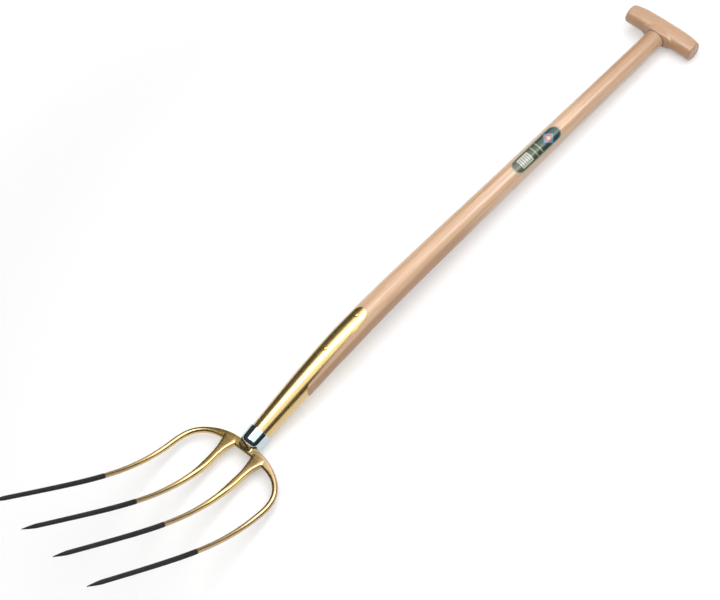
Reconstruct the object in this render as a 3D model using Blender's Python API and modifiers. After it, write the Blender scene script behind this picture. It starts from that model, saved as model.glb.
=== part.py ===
"""Four-tine manure fork with a bent ash shaft, a T grip and a strapped steel socket.

The fork lies on its back: the grip and the undersides of the tines touch the ground at z = 0.
X runs along the tool towards the points, Y across it, and the origin is under its middle.
Most pieces are drawn straight, as (s, y, h), and then bent to the tool's side profile:
s is the distance along the tool from the grip's axis, y goes across it, h towards its face.
"""

import math

import bmesh
import bpy
import numpy as np
from mathutils import Matrix, Vector, geometry

NAME = "manure_fork"
ROUND = 2.0
GAP = 0.0003
CUTTER_REACH = 0.030

# Side profile: the shaft leans back above the socket, and the tines sweep up from the crossbar
BACK_START = 0.520
BACK_END = 0.850
BACK_ANGLE = math.radians(-9.7)
DISH_START = 0.8635
DISH_REACH = 0.1264
DISH_EASE = 1.864
DISH_ANGLE = math.radians(52.0)
TOOL_LENGTH = 1.2497
PROFILE_STEP = 0.001

# Ash shaft
SHOULDER_S = 0.0163
SHAFT_TOP_R = 0.0144
SHAFT_SWELL = 0.0048
SWELL_S = 0.680
SWELL_EASE = 1.1
TAPER_START = 0.690
TAPER_DROP = 0.0056
TAPER_EASE = 1.3
SHAFT_END_S = 0.870
SHAFT_STEP = 0.020
SHAFT_SIDES = 24
TENON_R = 0.0100
TENON_TOP_S = -0.0260
SHOULDER_CHAMFER = 0.0006

# T grip, which stands turned a little round the shaft
GRIP_TURN = math.radians(-8.0)
GRIP_HALF = 0.0587
GRIP_S = 0.0010
GRIP_Y = 0.0010
GRIP_END_X = 0.0140
GRIP_END_Z = 0.0136
GRIP_ARCH = 0.0028
GRIP_SWELL_X = 0.0026
GRIP_SWELL_Z = 0.0016
GRIP_ROUND = 0.0028
GRIP_ROUND_IN = 0.00224
GRIP_SIDES = 24
BOSS_END_S = 0.0160
BOSS_R = 0.0150
BOSS_THIN = 0.0006
BOSS_FLARE = 0.0150
BOSS_FILLET = 0.0026
BOSS_EASE = 1.67

# Space over the grip, which trims what stands out of it
TRIM_FOOT_S = -0.0050
TRIM_LENGTH = 0.0800
TRIM_WIDTH = 0.0700

# Wedge in the tenon
WEDGE_TOP_S = -0.0300
WEDGE_TIP_S = 0.0000
WEDGE_HALF_Z = 0.0076
WEDGE_THICK = 0.0032
WEDGE_THIN = 0.0010

# Strapped socket of 1.6 mm sheet, let into the wood
SHEET = 0.0016
PROUD = 0.0007
STRAP_TIP_S = 0.6465
STRAP_ROUND = 0.0160
WINDOW_HALF = 0.0153
WINDOW_TAPER_S = 0.690
WINDOW_ROUND_S = 0.7714
WINDOW_ROUND = 0.0114
WINDOW_EASE = 1.25
STRAP_CUT_S = 0.6265
SLEEVE_START_S = 0.6405
RECESS_CLEAR = 0.0030
SOCKET_SIDES = 40
SOCKET_END_S = 0.8720

# Bright ring round the socket's end and the neck, with a rounded nose
RING_TOP_S = 0.8603
RING_NOSE_S = 0.8775
RING_END_S = 0.8855
RING_SEAT_S = 0.8723
RING_HOLE_R = 0.0110
RING_WALL = 0.0019
RING_SIDES = 48

# Rivets through both straps
RIVET_S = {"rivet_upper": 0.6610, "rivet_lower": 0.7230}
RIVET_R = 0.0022
RIVET_HEAD_R = 0.0033
RIVET_HEAD_H = 0.0013
RIVET_SIDES = 16

# Head: a flat crossbar runs out into the outer tines, and the inner tines grow from it
BAR_S = 0.8890
SHOULDER_END_S = 0.9560
SHOULDER_Y = 0.0862
OUTER_TIP_Y = 0.0912
SHOULDER_POWER_Y = 2.5
SHOULDER_POWER_S = 3.14
SHOULDER_R = 0.00425
BAR_HALF_WIDTH = 0.0068
BAR_HALF_THICK = 0.0048
BAR_FLAT_Y = 0.022
BAR_ROUND_Y = 0.068
BAR_SQUARENESS = 3.6
INNER_ROOT_Y = 0.0266
INNER_Y = 0.0254
INNER_TIP_Y = 0.0294
ROOT_START_S = 0.890
ROOT_RISEN_S = 0.908
ROOT_LEVEL_S = 0.955
ROOT_RISE = 0.0020
ROOT_END_S = 0.926
ROOT_HALF_WIDTH = 0.0125
ROOT_SQUARENESS = 3.2
ROOT_ROUND_S = 0.965
TINE_ROOT_R = 0.0050
TINE_SLIM_R = 0.00358
TINE_LOW_R = 0.0029
TINE_TIP_R = 0.0006
TINE_STOUT_S = 0.930
TINE_SLIM_S = 1.030
TINE_LOW_S = 1.275
POINT_S = 1.2250
POINT_EASE = 1.25
DIP_S = 1.0620
TINE_SIDES = 12
TINE_STEP = 0.012
SHOULDER_STEP = 0.007
NECK_TOP_S = 0.8735
NECK_START_S = 0.8858
NECK_SINK_S = 0.8940
NECK_R = 0.0105
NECK_SPREAD = 0.0170
NECK_SINK_HALF = 0.0042
TANG_ROOT_S = 0.8755
TANG_TIP_S = 0.7650
TANG_HALF = 0.0052
TANG_TIP_HALF = 0.0022

# Label on the front of the shaft
LABEL_S = 0.2945
LABEL_LENGTH = 0.1000
LABEL_WIDTH = 0.0250
LABEL_ANGLE = math.radians(24.0)
LABEL_FOIL = 0.0002

COLOURS = {
    "ash": ((0.66, 0.42, 0.26), 0.45, 0.0),
    "ash_grip": ((0.62, 0.38, 0.22), 0.45, 0.0),
    "wedge_wood": ((0.45, 0.27, 0.14), 0.6, 0.0),
    "gold_lacquer": ((0.63, 0.45, 0.17), 0.28, 1.0),
    "gold_forging": ((0.55, 0.38, 0.15), 0.35, 1.0),
    "black_dip": ((0.035, 0.032, 0.03), 0.6, 0.0),
    "bright_ring": ((0.72, 0.75, 0.78), 0.15, 1.0),
    "rivet_steel": ((0.5, 0.37, 0.17), 0.3, 1.0),
    "label_foil": ((0.03, 0.1, 0.06), 0.35, 0.0),
}


def smooth(value, low, high):
    """Rises from 0 at low to 1 at high, level at both ends."""
    u = min(max((value - low) / (high - low), 0.0), 1.0)
    return u * u * (3.0 - 2.0 * u)


def lean(s):
    """Angle of the side profile at distance s, positive towards the face."""
    back = BACK_ANGLE * smooth(s, BACK_START, BACK_END)
    beyond = max(s - DISH_START, 0.0) / DISH_REACH
    return back + DISH_ANGLE * (1.0 - math.exp(-(beyond**DISH_EASE)))


def profile_table():
    """Distances along the tool with the x and z that each one reaches."""
    s = np.arange(0.0, TOOL_LENGTH + 2 * PROFILE_STEP, PROFILE_STEP)
    angles = np.array([lean(value) for value in s + PROFILE_STEP / 2])
    x = np.concatenate([[0.0], np.cumsum(np.cos(angles[:-1]) * PROFILE_STEP)])
    z = np.concatenate([[0.0], np.cumsum(np.sin(angles[:-1]) * PROFILE_STEP)])
    return s, x, z


PROFILE_S, PROFILE_X, PROFILE_Z = profile_table()


def bent(s, y, h):
    """A point of the straight drawing, moved to the bent tool."""
    angle = lean(max(s, 0.0))
    x = float(np.interp(s, PROFILE_S, PROFILE_X)) + min(s, 0.0)
    z = float(np.interp(s, PROFILE_S, PROFILE_Z))
    return Vector((x - h * math.sin(angle), y, z + h * math.cos(angle)))


def wood_radius(s):
    """Radius of the bare shaft, thickest just above the socket."""
    swell = SHAFT_SWELL * (min(s, TAPER_START) / SWELL_S) ** SWELL_EASE
    fall = max(s - TAPER_START, 0.0) / (RING_TOP_S - TAPER_START)
    return SHAFT_TOP_R + swell - TAPER_DROP * fall**TAPER_EASE


def socket_radius(s):
    """Outer radius of the socket, which stands a little proud of the wood."""
    return wood_radius(s) + PROUD


def ring_radius(s):
    """Outer radius of the bright ring above its nose."""
    return socket_radius(s) + GAP + RING_WALL


def new_collection(name):
    collection = bpy.data.collections.new(name)
    bpy.context.scene.collection.children.link(collection)
    return collection


def finish(name):
    """The material of one finish, made once."""
    material = bpy.data.materials.get(name)
    if material is None:
        colour, roughness, metallic = COLOURS[name]
        material = bpy.data.materials.new(name)
        material.use_nodes = True
        shader = material.node_tree.nodes["Principled BSDF"]
        shader.inputs["Base Color"].default_value = (*colour, 1.0)
        shader.inputs["Roughness"].default_value = roughness
        shader.inputs["Metallic"].default_value = metallic
    return material


def add_object(name, shape, collection):
    """An object from a bmesh, with outward faces and smooth shading."""
    bmesh.ops.recalc_face_normals(shape, faces=shape.faces)
    mesh = bpy.data.meshes.new(name)
    shape.to_mesh(mesh)
    shape.free()
    mesh.shade_smooth()
    mesh.set_sharp_from_angle(angle=math.radians(40))
    thing = bpy.data.objects.new(name, mesh)
    collection.objects.link(thing)
    return thing


def make_guide(thing):
    """Marks a cutter or a joined shape, which isn't a piece of its own."""
    thing.hide_render = True
    thing.display_type = "WIRE"
    return thing


def boolean(thing, operation, *others):
    for other in others:
        modifier = thing.modifiers.new(operation.lower(), "BOOLEAN")
        modifier.operation = operation
        modifier.solver = "EXACT"
        modifier.object = other


def evaluated_shape(thing):
    """A bmesh of the object with its modifiers applied; the object is removed."""
    mesh = bpy.data.meshes.new_from_object(
        thing.evaluated_get(bpy.context.evaluated_depsgraph_get())
    )
    shape = bmesh.new()
    shape.from_mesh(mesh)
    bpy.data.meshes.remove(mesh)
    bpy.data.objects.remove(thing)
    return shape


def turned_shape(profile, sides, closed):
    """A bmesh turned round Z from a profile of (radius, depth) points, top to bottom."""
    shape = bmesh.new()
    points = [shape.verts.new((radius, 0.0, -depth)) for radius, depth in profile]
    for first, second in zip(points, points[1:]):
        shape.edges.new((first, second))
    if closed:
        shape.edges.new((points[-1], points[0]))
    thing = add_object("turned", shape, bpy.context.scene.collection)
    screw = thing.modifiers.new("turn", "SCREW")
    screw.axis = "Z"
    screw.steps = sides
    screw.render_steps = sides
    screw.use_merge_vertices = True
    screw.merge_threshold = 0.00001
    bpy.context.view_layer.update()
    return evaluated_shape(thing)


def lay_along(shape):
    """Turns a shape made round Z to lie along the tool, and bends it to the side profile."""
    for vertex in shape.verts:
        height, across, depth = vertex.co
        vertex.co = bent(-depth, across, height)
    return shape


def lofted_shape(rows, columns, place, capped=True):
    """A tube of rings: place(row, turn) gives each point, with turn from 0 to 1 round the ring."""
    shape = bmesh.new()
    rings = []
    for row in range(rows):
        ring = [shape.verts.new(place(row, column / columns)) for column in range(columns)]
        rings.append(ring)
    for ring, after in zip(rings, rings[1:]):
        for column in range(columns):
            beside = (column + 1) % columns
            shape.faces.new((ring[column], ring[beside], after[beside], after[column]))
    if capped:
        shape.faces.new(rings[0])
        shape.faces.new(rings[-1])
    return shape


def oval_point(turn, half_width, half_height, power=ROUND):
    """A point of a superellipse: power 2 is an ellipse, 1 a diamond, 4 a rounded rectangle."""
    angle = 2.0 * math.pi * turn
    wide, high = math.cos(angle), math.sin(angle)
    across = math.copysign(abs(wide) ** (2.0 / power), wide) * half_width
    up = math.copysign(abs(high) ** (2.0 / power), high) * half_height
    return across, up


def turn_grip(shape):
    """Turns a shape about the shaft's axis, as far as the grip stands out of the head's plane."""
    bmesh.ops.transform(shape, matrix=Matrix.Rotation(GRIP_TURN, 4, "X"), verts=shape.verts)
    return shape


def grip_section(y):
    """Centre, half height and half depth of the crosspiece at y, with its ends rounded over."""
    middle = 1.0 - (y / GRIP_HALF) ** 4
    centre = -GRIP_ARCH * middle
    half_x = GRIP_END_X + GRIP_SWELL_X * middle
    half_z = GRIP_END_Z + GRIP_SWELL_Z * middle
    inset = max(abs(y) - (GRIP_HALF - GRIP_ROUND), 0.0) / GRIP_ROUND
    lost = GRIP_ROUND_IN * (1.0 - math.sqrt(max(1.0 - inset * inset, 0.0)))
    return centre, half_x - lost, half_z - lost


def crosspiece_shape():
    """The bar of the T grip, arched along its top and straight below."""
    rounded = [GRIP_HALF - GRIP_ROUND * (1.0 - math.sin(step * math.pi / 8)) for step in range(5)]
    straight = np.linspace(-rounded[0], rounded[0], 15)[1:-1]
    stations = [-y for y in reversed(rounded)] + list(straight) + rounded

    def place(row, turn):
        centre, half_x, half_z = grip_section(stations[row])
        across, up = oval_point(turn, half_x, half_z)
        return Vector((GRIP_S + centre + across, GRIP_Y + stations[row], up))

    return turn_grip(lofted_shape(len(stations), GRIP_SIDES, place))


def boss_shape():
    """The swelling under the crosspiece that ends on the shaft's shoulder."""
    stations = [0.0] + list(np.linspace(BOSS_END_S - BOSS_FILLET, BOSS_END_S, 6))

    def place(row, turn):
        s = stations[row]
        rise = min((BOSS_END_S - s) / BOSS_FILLET, 1.0)
        flare = BOSS_FLARE * rise**BOSS_EASE
        across, up = oval_point(turn, BOSS_R + flare, BOSS_R - BOSS_THIN * rise)
        return Vector((s, across, up))

    return turn_grip(lofted_shape(len(stations), GRIP_SIDES, place))


def wedge_shape(margin):
    """A taper that stands in the tenon's kerf, thick end up; margin grows it into the kerf."""
    shape = bmesh.new()
    bmesh.ops.create_cube(shape, size=1.0)
    for vertex in shape.verts:
        at_top = vertex.co.x < 0.0
        thick = WEDGE_THICK if at_top else WEDGE_THIN
        vertex.co.x = WEDGE_TOP_S if at_top else WEDGE_TIP_S + margin
        vertex.co.y *= thick + 2.0 * margin
        vertex.co.z *= 2.0 * (WEDGE_HALF_Z + margin)
    return turn_grip(shape)


def above_grip(cutters):
    """The space over the crosspiece, which trims the tenon and the wedge flush with it."""
    shape = bmesh.new()
    bmesh.ops.create_cube(shape, size=1.0)
    for vertex in shape.verts:
        x, y, z = vertex.co
        vertex.co = Vector((TRIM_FOOT_S + TRIM_LENGTH * (x - 0.5), TRIM_WIDTH * y, TRIM_WIDTH * z))
    space = make_guide(add_object("above_grip", shape, cutters))
    kept = make_guide(add_object("grip_envelope", crosspiece_shape(), cutters))
    boolean(space, "DIFFERENCE", kept)
    return space


def rod_shape(radius, sides):
    """A straight round cutter about the origin, standing along Z."""
    ends = [(radius, -CUTTER_REACH), (radius, CUTTER_REACH)]
    return turned_shape([(0.0, -CUTTER_REACH), *ends, (0.0, CUTTER_REACH)], sides, closed=False)


def make_grip(parts, cutters):
    grip = add_object("grip", crosspiece_shape(), parts)
    grip.data.materials.append(finish("ash_grip"))
    boss = make_guide(add_object("grip_boss", boss_shape(), cutters))
    hole = lay_along(rod_shape(TENON_R + GAP, SHAFT_SIDES))
    mortise = make_guide(add_object("mortise", hole, cutters))
    boolean(grip, "UNION", boss)
    boolean(grip, "DIFFERENCE", mortise)
    return grip


def shaft_profile():
    """Radius and distance of the shaft from tenon to foot, top to bottom."""
    shoulder_r = wood_radius(SHOULDER_S)
    profile = [(0.0, TENON_TOP_S), (TENON_R, TENON_TOP_S), (TENON_R, SHOULDER_S)]
    profile.append((shoulder_r - SHOULDER_CHAMFER, SHOULDER_S))
    profile.append((shoulder_r, SHOULDER_S + SHOULDER_CHAMFER))
    count = round((SHAFT_END_S - SHOULDER_S) / SHAFT_STEP)
    for s in np.linspace(SHOULDER_S, SHAFT_END_S, count + 1)[1:]:
        profile.append((wood_radius(s), s))
    profile.append((0.0, SHAFT_END_S))
    return profile


def tang_shape(margin):
    """The head's square tang, from its thin tip to the neck; margin grows it into its hole."""
    stations = np.linspace(0.0, 1.0, 8)
    tip = TANG_TIP_S - margin

    def place(row, turn):
        along = stations[row]
        half = TANG_TIP_HALF + (TANG_HALF - TANG_TIP_HALF) * along + margin
        corner = half * math.sqrt(2.0)
        across, up = oval_point(turn + 0.125, corner, corner)
        return bent(tip + (TANG_ROOT_S - tip) * along, across, up)

    return lofted_shape(len(stations), 4, place)


def prism(name, outline, upright, cutters):
    """A cutter through the tool from its outline along s: across it, or upright through its face."""
    shape = bmesh.new()
    sides = []
    for end in (-CUTTER_REACH, CUTTER_REACH):
        points = [bent(s, side, end) if upright else bent(s, end, side) for s, side in outline]
        sides.append([shape.verts.new(point) for point in points])
    shape.faces.new(sides[0])
    shape.faces.new(sides[1])
    for index in range(len(outline)):
        after = (index + 1) % len(outline)
        shape.faces.new((sides[0][index], sides[0][after], sides[1][after], sides[1][index]))
    return make_guide(add_object(name, shape, cutters))


def window_outline(margin):
    """Side view of the space between the straps; margin shrinks it."""
    half = WINDOW_HALF - margin
    round_half = WINDOW_ROUND - margin
    edge = [(s, half) for s in np.linspace(STRAP_CUT_S, WINDOW_TAPER_S, 5)]
    for along in np.linspace(0.0, 1.0, 6)[1:-1]:
        s = WINDOW_TAPER_S + (WINDOW_ROUND_S - WINDOW_TAPER_S) * along
        edge.append((s, half + (round_half - half) * along**WINDOW_EASE))
    for step in range(9):
        angle = math.pi * step / 16
        edge.append((WINDOW_ROUND_S + round_half * math.sin(angle), round_half * math.cos(angle)))
    return edge + [(s, -h) for s, h in reversed(edge[:-1])]


def tip_outline(margin):
    """View from the face of the space round the strap's rounded tip; margin shrinks it."""
    base = STRAP_TIP_S + STRAP_ROUND
    half = math.sqrt(socket_radius(base) ** 2 - WINDOW_HALF**2) + margin
    arch = []
    for step in range(13):
        angle = math.pi * (step / 12 - 0.5)
        arch.append((base - (STRAP_ROUND + margin) * math.cos(angle), half * math.sin(angle)))
    side = CUTTER_REACH
    return [(STRAP_CUT_S, -side), (base, -side), *arch, (base, side), (STRAP_CUT_S, side)]


def sleeve(name, margin, clear, collection, cutters):
    """The socket's sheet; margin and, outside, clear make it a fuller cutter that gives it room."""
    stations = list(np.linspace(SLEEVE_START_S, SOCKET_END_S + clear, 20))
    outside = [(socket_radius(s) + clear, s) for s in stations]
    inside = [(socket_radius(s) - SHEET - margin, s) for s in reversed(stations)]
    shape = turned_shape(outside + inside, SOCKET_SIDES, closed=True)
    thing = add_object(name, lay_along(shape), collection)
    boolean(
        thing,
        "DIFFERENCE",
        prism(name + "_sides", window_outline(margin), False, cutters),
        prism(name + "_tips", tip_outline(margin), True, cutters),
    )
    return thing


def stand_at(shape, s):
    """Moves a shape made round Z to stand across the tool at s, square to its face."""
    angle = lean(s)
    turn = Matrix.Rotation(-angle, 4, "Y")
    bmesh.ops.transform(shape, matrix=Matrix.Translation(bent(s, 0.0, 0.0)) @ turn, verts=shape.verts)
    return shape


def rivet_hole(name, cutters):
    shape = stand_at(rod_shape(RIVET_R + GAP, RIVET_SIDES), RIVET_S[name])
    return make_guide(add_object(name + "_hole", shape, cutters))


def make_rivet(name, parts):
    """A pin through both straps with a domed head at each end."""
    seat = socket_radius(RIVET_S[name]) + GAP
    dome = []
    for step in range(5):
        angle = math.pi * step / 8
        dome.append((RIVET_HEAD_R * math.sin(angle), seat + RIVET_HEAD_H * math.cos(angle)))
    dome[0] = (0.0, seat + RIVET_HEAD_H)
    upper = [(radius, -height) for radius, height in dome] + [(RIVET_R, -seat)]
    lower = [(radius, -depth) for radius, depth in reversed(upper)]
    shape = stand_at(turned_shape(upper + lower, RIVET_SIDES, closed=False), RIVET_S[name])
    rivet = add_object(name, shape, parts)
    rivet.data.materials.append(finish("rivet_steel"))
    return rivet


def ring_nose(margin):
    """Radius and distance along the ring's rounded nose, from its side to its hole."""
    hole_r = RING_HOLE_R - margin
    side_r = ring_radius(RING_NOSE_S) + margin
    nose = []
    for step in range(9):
        angle = math.pi * step / 16
        s = RING_NOSE_S + (RING_END_S + margin - RING_NOSE_S) * math.sin(angle)
        nose.append((hole_r + (side_r - hole_r) * math.cos(angle), s))
    return nose


def ring_section():
    """Radius and distance round the ring's section: rim, side, nose, hole and seat."""
    half = RING_WALL / 2
    rim = []
    for step in range(9):
        angle = math.pi * step / 8
        s = RING_TOP_S + half - half * math.sin(angle)
        rim.append((ring_radius(s) - half - half * math.cos(angle), s))
    seat = [(RING_HOLE_R, RING_SEAT_S), (socket_radius(RING_SEAT_S) + GAP, RING_SEAT_S)]
    return rim + ring_nose(0.0) + seat


def ring_room_shape():
    """The space of the ring's nose with a small gap, for sinking it into the crossbar."""
    nose = ring_nose(GAP)
    back = [(nose[-1][0], RING_SEAT_S), (nose[0][0], RING_SEAT_S)]
    return lay_along(turned_shape(nose + back, RING_SIDES, closed=True))


def make_ring(parts):
    """The bright ring, a turned cup with its nose towards the crossbar."""
    shape = turned_shape(ring_section(), RING_SIDES, closed=True)
    ring = add_object("neck_ring", lay_along(shape), parts)
    ring.data.materials.append(finish("bright_ring"))
    return ring


def tine_radius(s, thick):
    """Radius of a tine at s: stout near the crossbar, slender below and pointed at its end."""
    slim = TINE_SLIM_R + (TINE_LOW_R - TINE_SLIM_R) * smooth(s, TINE_SLIM_S, TINE_LOW_S)
    radius = thick + (slim - thick) * smooth(s, TINE_STOUT_S, TINE_SLIM_S)
    along = max(s - POINT_S, 0.0) / (TOOL_LENGTH - POINT_S)
    return radius + (TINE_TIP_R - radius) * along**POINT_EASE


def tine_stations(start):
    """Distances of the rings along a tine, closer together near the point."""
    count = round((DIP_S - start) / TINE_STEP)
    upper = list(np.linspace(start, DIP_S, count + 1))
    count = round((POINT_S - DIP_S) / TINE_STEP)
    lower = list(np.linspace(DIP_S, POINT_S, count + 1))[1:]
    point = [POINT_S + (TOOL_LENGTH - POINT_S) * part for part in (0.3, 0.6, 0.85, 1.0)]
    return upper + lower + point


def shoulder_path():
    """Centre line (s, y) of the crossbar's half and its outer tine, evenly stepped."""
    drop = SHOULDER_END_S - BAR_S
    fine = []
    for step in range(401):
        angle = math.pi / 2 * (step / 400) ** 0.8
        y = SHOULDER_Y * math.sin(angle) ** (2.0 / SHOULDER_POWER_Y)
        s = SHOULDER_END_S - drop * max(math.cos(angle), 0.0) ** (2.0 / SHOULDER_POWER_S)
        fine.append((s, y))
    fine = np.array(fine)
    lengths = np.concatenate([[0.0], np.cumsum(np.hypot(*np.diff(fine, axis=0).T))])
    marks = np.linspace(0.0, lengths[-1], round(lengths[-1] / SHOULDER_STEP) + 1)
    path = [(np.interp(m, lengths, fine[:, 0]), np.interp(m, lengths, fine[:, 1])) for m in marks]
    for s in tine_stations(SHOULDER_END_S)[1:]:
        along = (s - SHOULDER_END_S) / (TOOL_LENGTH - SHOULDER_END_S)
        path.append((s, SHOULDER_Y + (OUTER_TIP_Y - SHOULDER_Y) * along))
    return path


def arch_section(s, y):
    """Half width, half thickness and squareness of the crossbar and outer tines."""
    turned = smooth(abs(y), BAR_FLAT_Y, BAR_ROUND_Y)
    radius = tine_radius(s, SHOULDER_R)
    half_width = BAR_HALF_WIDTH + (radius - BAR_HALF_WIDTH) * turned
    half_thick = BAR_HALF_THICK + (radius - BAR_HALF_THICK) * turned
    return half_width, half_thick, BAR_SQUARENESS + (ROUND - BAR_SQUARENESS) * turned


def arch_shape():
    """The crossbar and both outer tines in one sweep."""
    half = shoulder_path()
    path = [(s, -y) for s, y in reversed(half[1:])] + half
    rows = len(path)

    def place(row, turn):
        s, y = path[row]
        before = path[max(row - 1, 0)]
        after = path[min(row + 1, rows - 1)]
        along = math.hypot(after[0] - before[0], after[1] - before[1])
        normal = ((after[1] - before[1]) / along, -(after[0] - before[0]) / along)
        across, up = oval_point(turn + 0.5 / TINE_SIDES, *arch_section(s, y))
        return bent(s + normal[0] * across, y + normal[1] * across, up)

    return lofted_shape(rows, TINE_SIDES, place)


def inner_tine_shape(side):
    """An inner tine, wide and squared where it leaves the crossbar."""
    root = list(np.linspace(ROOT_START_S, ROOT_END_S, 7))
    stations = root[:-1] + tine_stations(ROOT_END_S)

    def place(row, turn):
        s = stations[row]
        y = INNER_ROOT_Y + (INNER_Y - INNER_ROOT_Y) * smooth(s, RING_END_S, SHOULDER_END_S)
        beyond = max(s - SHOULDER_END_S, 0.0) / (TOOL_LENGTH - SHOULDER_END_S)
        y += (INNER_TIP_Y - INNER_Y) * beyond
        radius = tine_radius(s, TINE_ROOT_R)
        flare = max(1.0 - (s - ROOT_START_S) / (ROOT_END_S - ROOT_START_S), 0.0) ** 2
        half_width = radius + (ROOT_HALF_WIDTH - radius) * flare
        power = ROOT_SQUARENESS + (ROUND - ROOT_SQUARENESS) * smooth(s, ROOT_END_S, ROOT_ROUND_S)
        rise = smooth(s, ROOT_START_S, ROOT_RISEN_S) - smooth(s, ROOT_RISEN_S, ROOT_LEVEL_S)
        across, up = oval_point(turn + 0.5 / TINE_SIDES, half_width, radius, power)
        return bent(s, side * y + across, up + ROOT_RISE * rise)

    return lofted_shape(len(stations), TINE_SIDES, place)


def neck_shape():
    """The round neck inside the ring, flattened and spread as it sinks into the crossbar."""
    stations = [NECK_TOP_S, *np.linspace(NECK_START_S, NECK_SINK_S, 7)]

    def place(row, turn):
        s = stations[row]
        flat = smooth(s, NECK_START_S, NECK_SINK_S)
        wide = NECK_R + (NECK_SPREAD - NECK_R) * flat
        high = NECK_R + (NECK_SINK_HALF - NECK_R) * flat
        return bent(s, *oval_point(turn, wide, high))

    return lofted_shape(len(stations), SHAFT_SIDES, place)


def paint_dip(thing):
    """Two finishes on a tine: lacquer, and the black dip below its sharp edge."""
    thing.data.materials.append(finish("gold_forging"))
    thing.data.materials.append(finish("black_dip"))
    level = bent(DIP_S, 0.0, 0.0)
    angle = lean(DIP_S)
    for face in thing.data.polygons:
        offset = face.center - level
        beyond = offset.x * math.cos(angle) + offset.z * math.sin(angle)
        face.material_index = 1 if beyond > 0.0 else 0
    return thing


def make_head(parts, cutters):
    """Crossbar, four tines, neck and tang forged in one."""
    head = paint_dip(add_object("fork_head", arch_shape(), parts))
    joined = [
        ("inner_tine_near", inner_tine_shape(1.0)),
        ("inner_tine_far", inner_tine_shape(-1.0)),
        ("neck", neck_shape()),
        ("tang", tang_shape(0.0)),
    ]
    for name, shape in joined:
        boolean(head, "UNION", make_guide(paint_dip(add_object(name, shape, cutters))))
    boolean(head, "DIFFERENCE", make_guide(add_object("ring_room", ring_room_shape(), cutters)))
    return head


def make_shaft(parts, cutters):
    """The ash shaft with its tenon, kerf, strap recess, tang hole and rivet holes."""
    shape = lay_along(turned_shape(shaft_profile(), SHAFT_SIDES, closed=False))
    shaft = add_object("shaft", shape, parts)
    shaft.data.materials.append(finish("ash"))
    recess = make_guide(sleeve("strap_recess", GAP, RECESS_CLEAR, cutters, cutters))
    tang_hole = make_guide(add_object("tang_hole", tang_shape(GAP), cutters))
    kerf = make_guide(add_object("kerf", wedge_shape(GAP), cutters))
    boolean(shaft, "DIFFERENCE", recess, tang_hole, kerf, bpy.data.objects["above_grip"])
    return shaft


def make_wedge(parts):
    wedge = add_object("tenon_wedge", wedge_shape(0.0), parts)
    wedge.data.materials.append(finish("wedge_wood"))
    boolean(wedge, "DIFFERENCE", bpy.data.objects["above_grip"])
    return wedge


def make_socket(parts, cutters):
    socket = sleeve("socket", 0.0, 0.0, parts, cutters)
    socket.data.materials.append(finish("gold_lacquer"))
    return socket


def make_label(parts):
    """A thin stadium-shaped foil wrapped round the front of the shaft."""
    shape = bmesh.new()
    columns, rows = 12, 8
    grid = []
    for column in range(columns + 1):
        across = -math.cos(math.pi * column / columns) * LABEL_WIDTH / 2
        cap = math.sqrt(max((LABEL_WIDTH / 2) ** 2 - across**2, 0.0))
        reach = (LABEL_LENGTH - LABEL_WIDTH) / 2 + cap
        line = []
        for row in range(rows + 1):
            s = LABEL_S + reach * (2.0 * row / rows - 1.0)
            radius = wood_radius(s) + GAP
            angle = LABEL_ANGLE + across / radius
            point = bent(s, radius * math.sin(angle), radius * math.cos(angle))
            line.append(shape.verts.new(point))
        grid.append(line)
    for line, beside in zip(grid, grid[1:]):
        for row in range(rows):
            shape.faces.new((line[row], line[row + 1], beside[row + 1], beside[row]))
    label = add_object("label", shape, parts)
    label.data.materials.append(finish("label_foil"))
    foil = label.modifiers.new("foil", "SOLIDIFY")
    foil.thickness = LABEL_FOIL
    foil.offset = 1.0
    return label


def corners(thing):
    """Every vertex of the finished object as an array."""
    evaluated = thing.evaluated_get(bpy.context.evaluated_depsgraph_get())
    points = np.empty(len(evaluated.data.vertices) * 3)
    evaluated.data.vertices.foreach_get("co", points)
    return points.reshape(-1, 3)


def lay_down(parts):
    """Tilts the fork until its grip and its head both touch the ground, with the origin below."""
    bpy.context.view_layer.update()
    points = np.concatenate([corners(thing) for thing in parts.objects])
    upper = points[points[:, 0] < BACK_START]
    lower = points[points[:, 0] > BACK_START]
    low, high = -0.2, 0.2
    for _ in range(60):
        tilt = (low + high) / 2
        lean_x, lean_z = math.sin(tilt), math.cos(tilt)
        upper_low = (upper[:, 0] * lean_x + upper[:, 2] * lean_z).min()
        lower_low = (lower[:, 0] * lean_x + lower[:, 2] * lean_z).min()
        low, high = (low, tilt) if upper_low < lower_low else (tilt, high)
    turn = Matrix.Rotation(-tilt, 4, "Y")
    turned = points @ np.array(turn.to_3x3()).T
    middle = (turned.min(axis=0) + turned.max(axis=0)) / 2
    shift = Matrix.Translation((-middle[0], -middle[1], -turned[:, 2].min()))
    for thing in bpy.data.objects:
        thing.data.transform(shift @ turn)


def main():
    for thing in list(bpy.data.objects):
        bpy.data.objects.remove(thing)
    parts = new_collection(NAME)
    cutters = new_collection("cutters")
    above_grip(cutters)
    make_grip(parts, cutters)
    shaft = make_shaft(parts, cutters)
    make_wedge(parts)
    socket = make_socket(parts, cutters)
    make_ring(parts)
    for name in RIVET_S:
        hole = rivet_hole(name, cutters)
        boolean(shaft, "DIFFERENCE", hole)
        boolean(socket, "DIFFERENCE", hole)
        make_rivet(name, parts)
    make_head(parts, cutters)
    make_label(parts)
    lay_down(parts)
    cutters.hide_render = True


main()
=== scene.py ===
"""Looks of the manure fork: ash shaft and grip, gold lacquered head and socket, bright neck ring.

The fork is drawn straight, as (s, y, h), and bent to its side profile: s runs along the tool from
the grip's axis, y across it, h towards its face. The drawing is then laid where the frame has it.
"""

import math

import bmesh
import bpy
import numpy as np
from mathutils import Matrix, Vector


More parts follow.
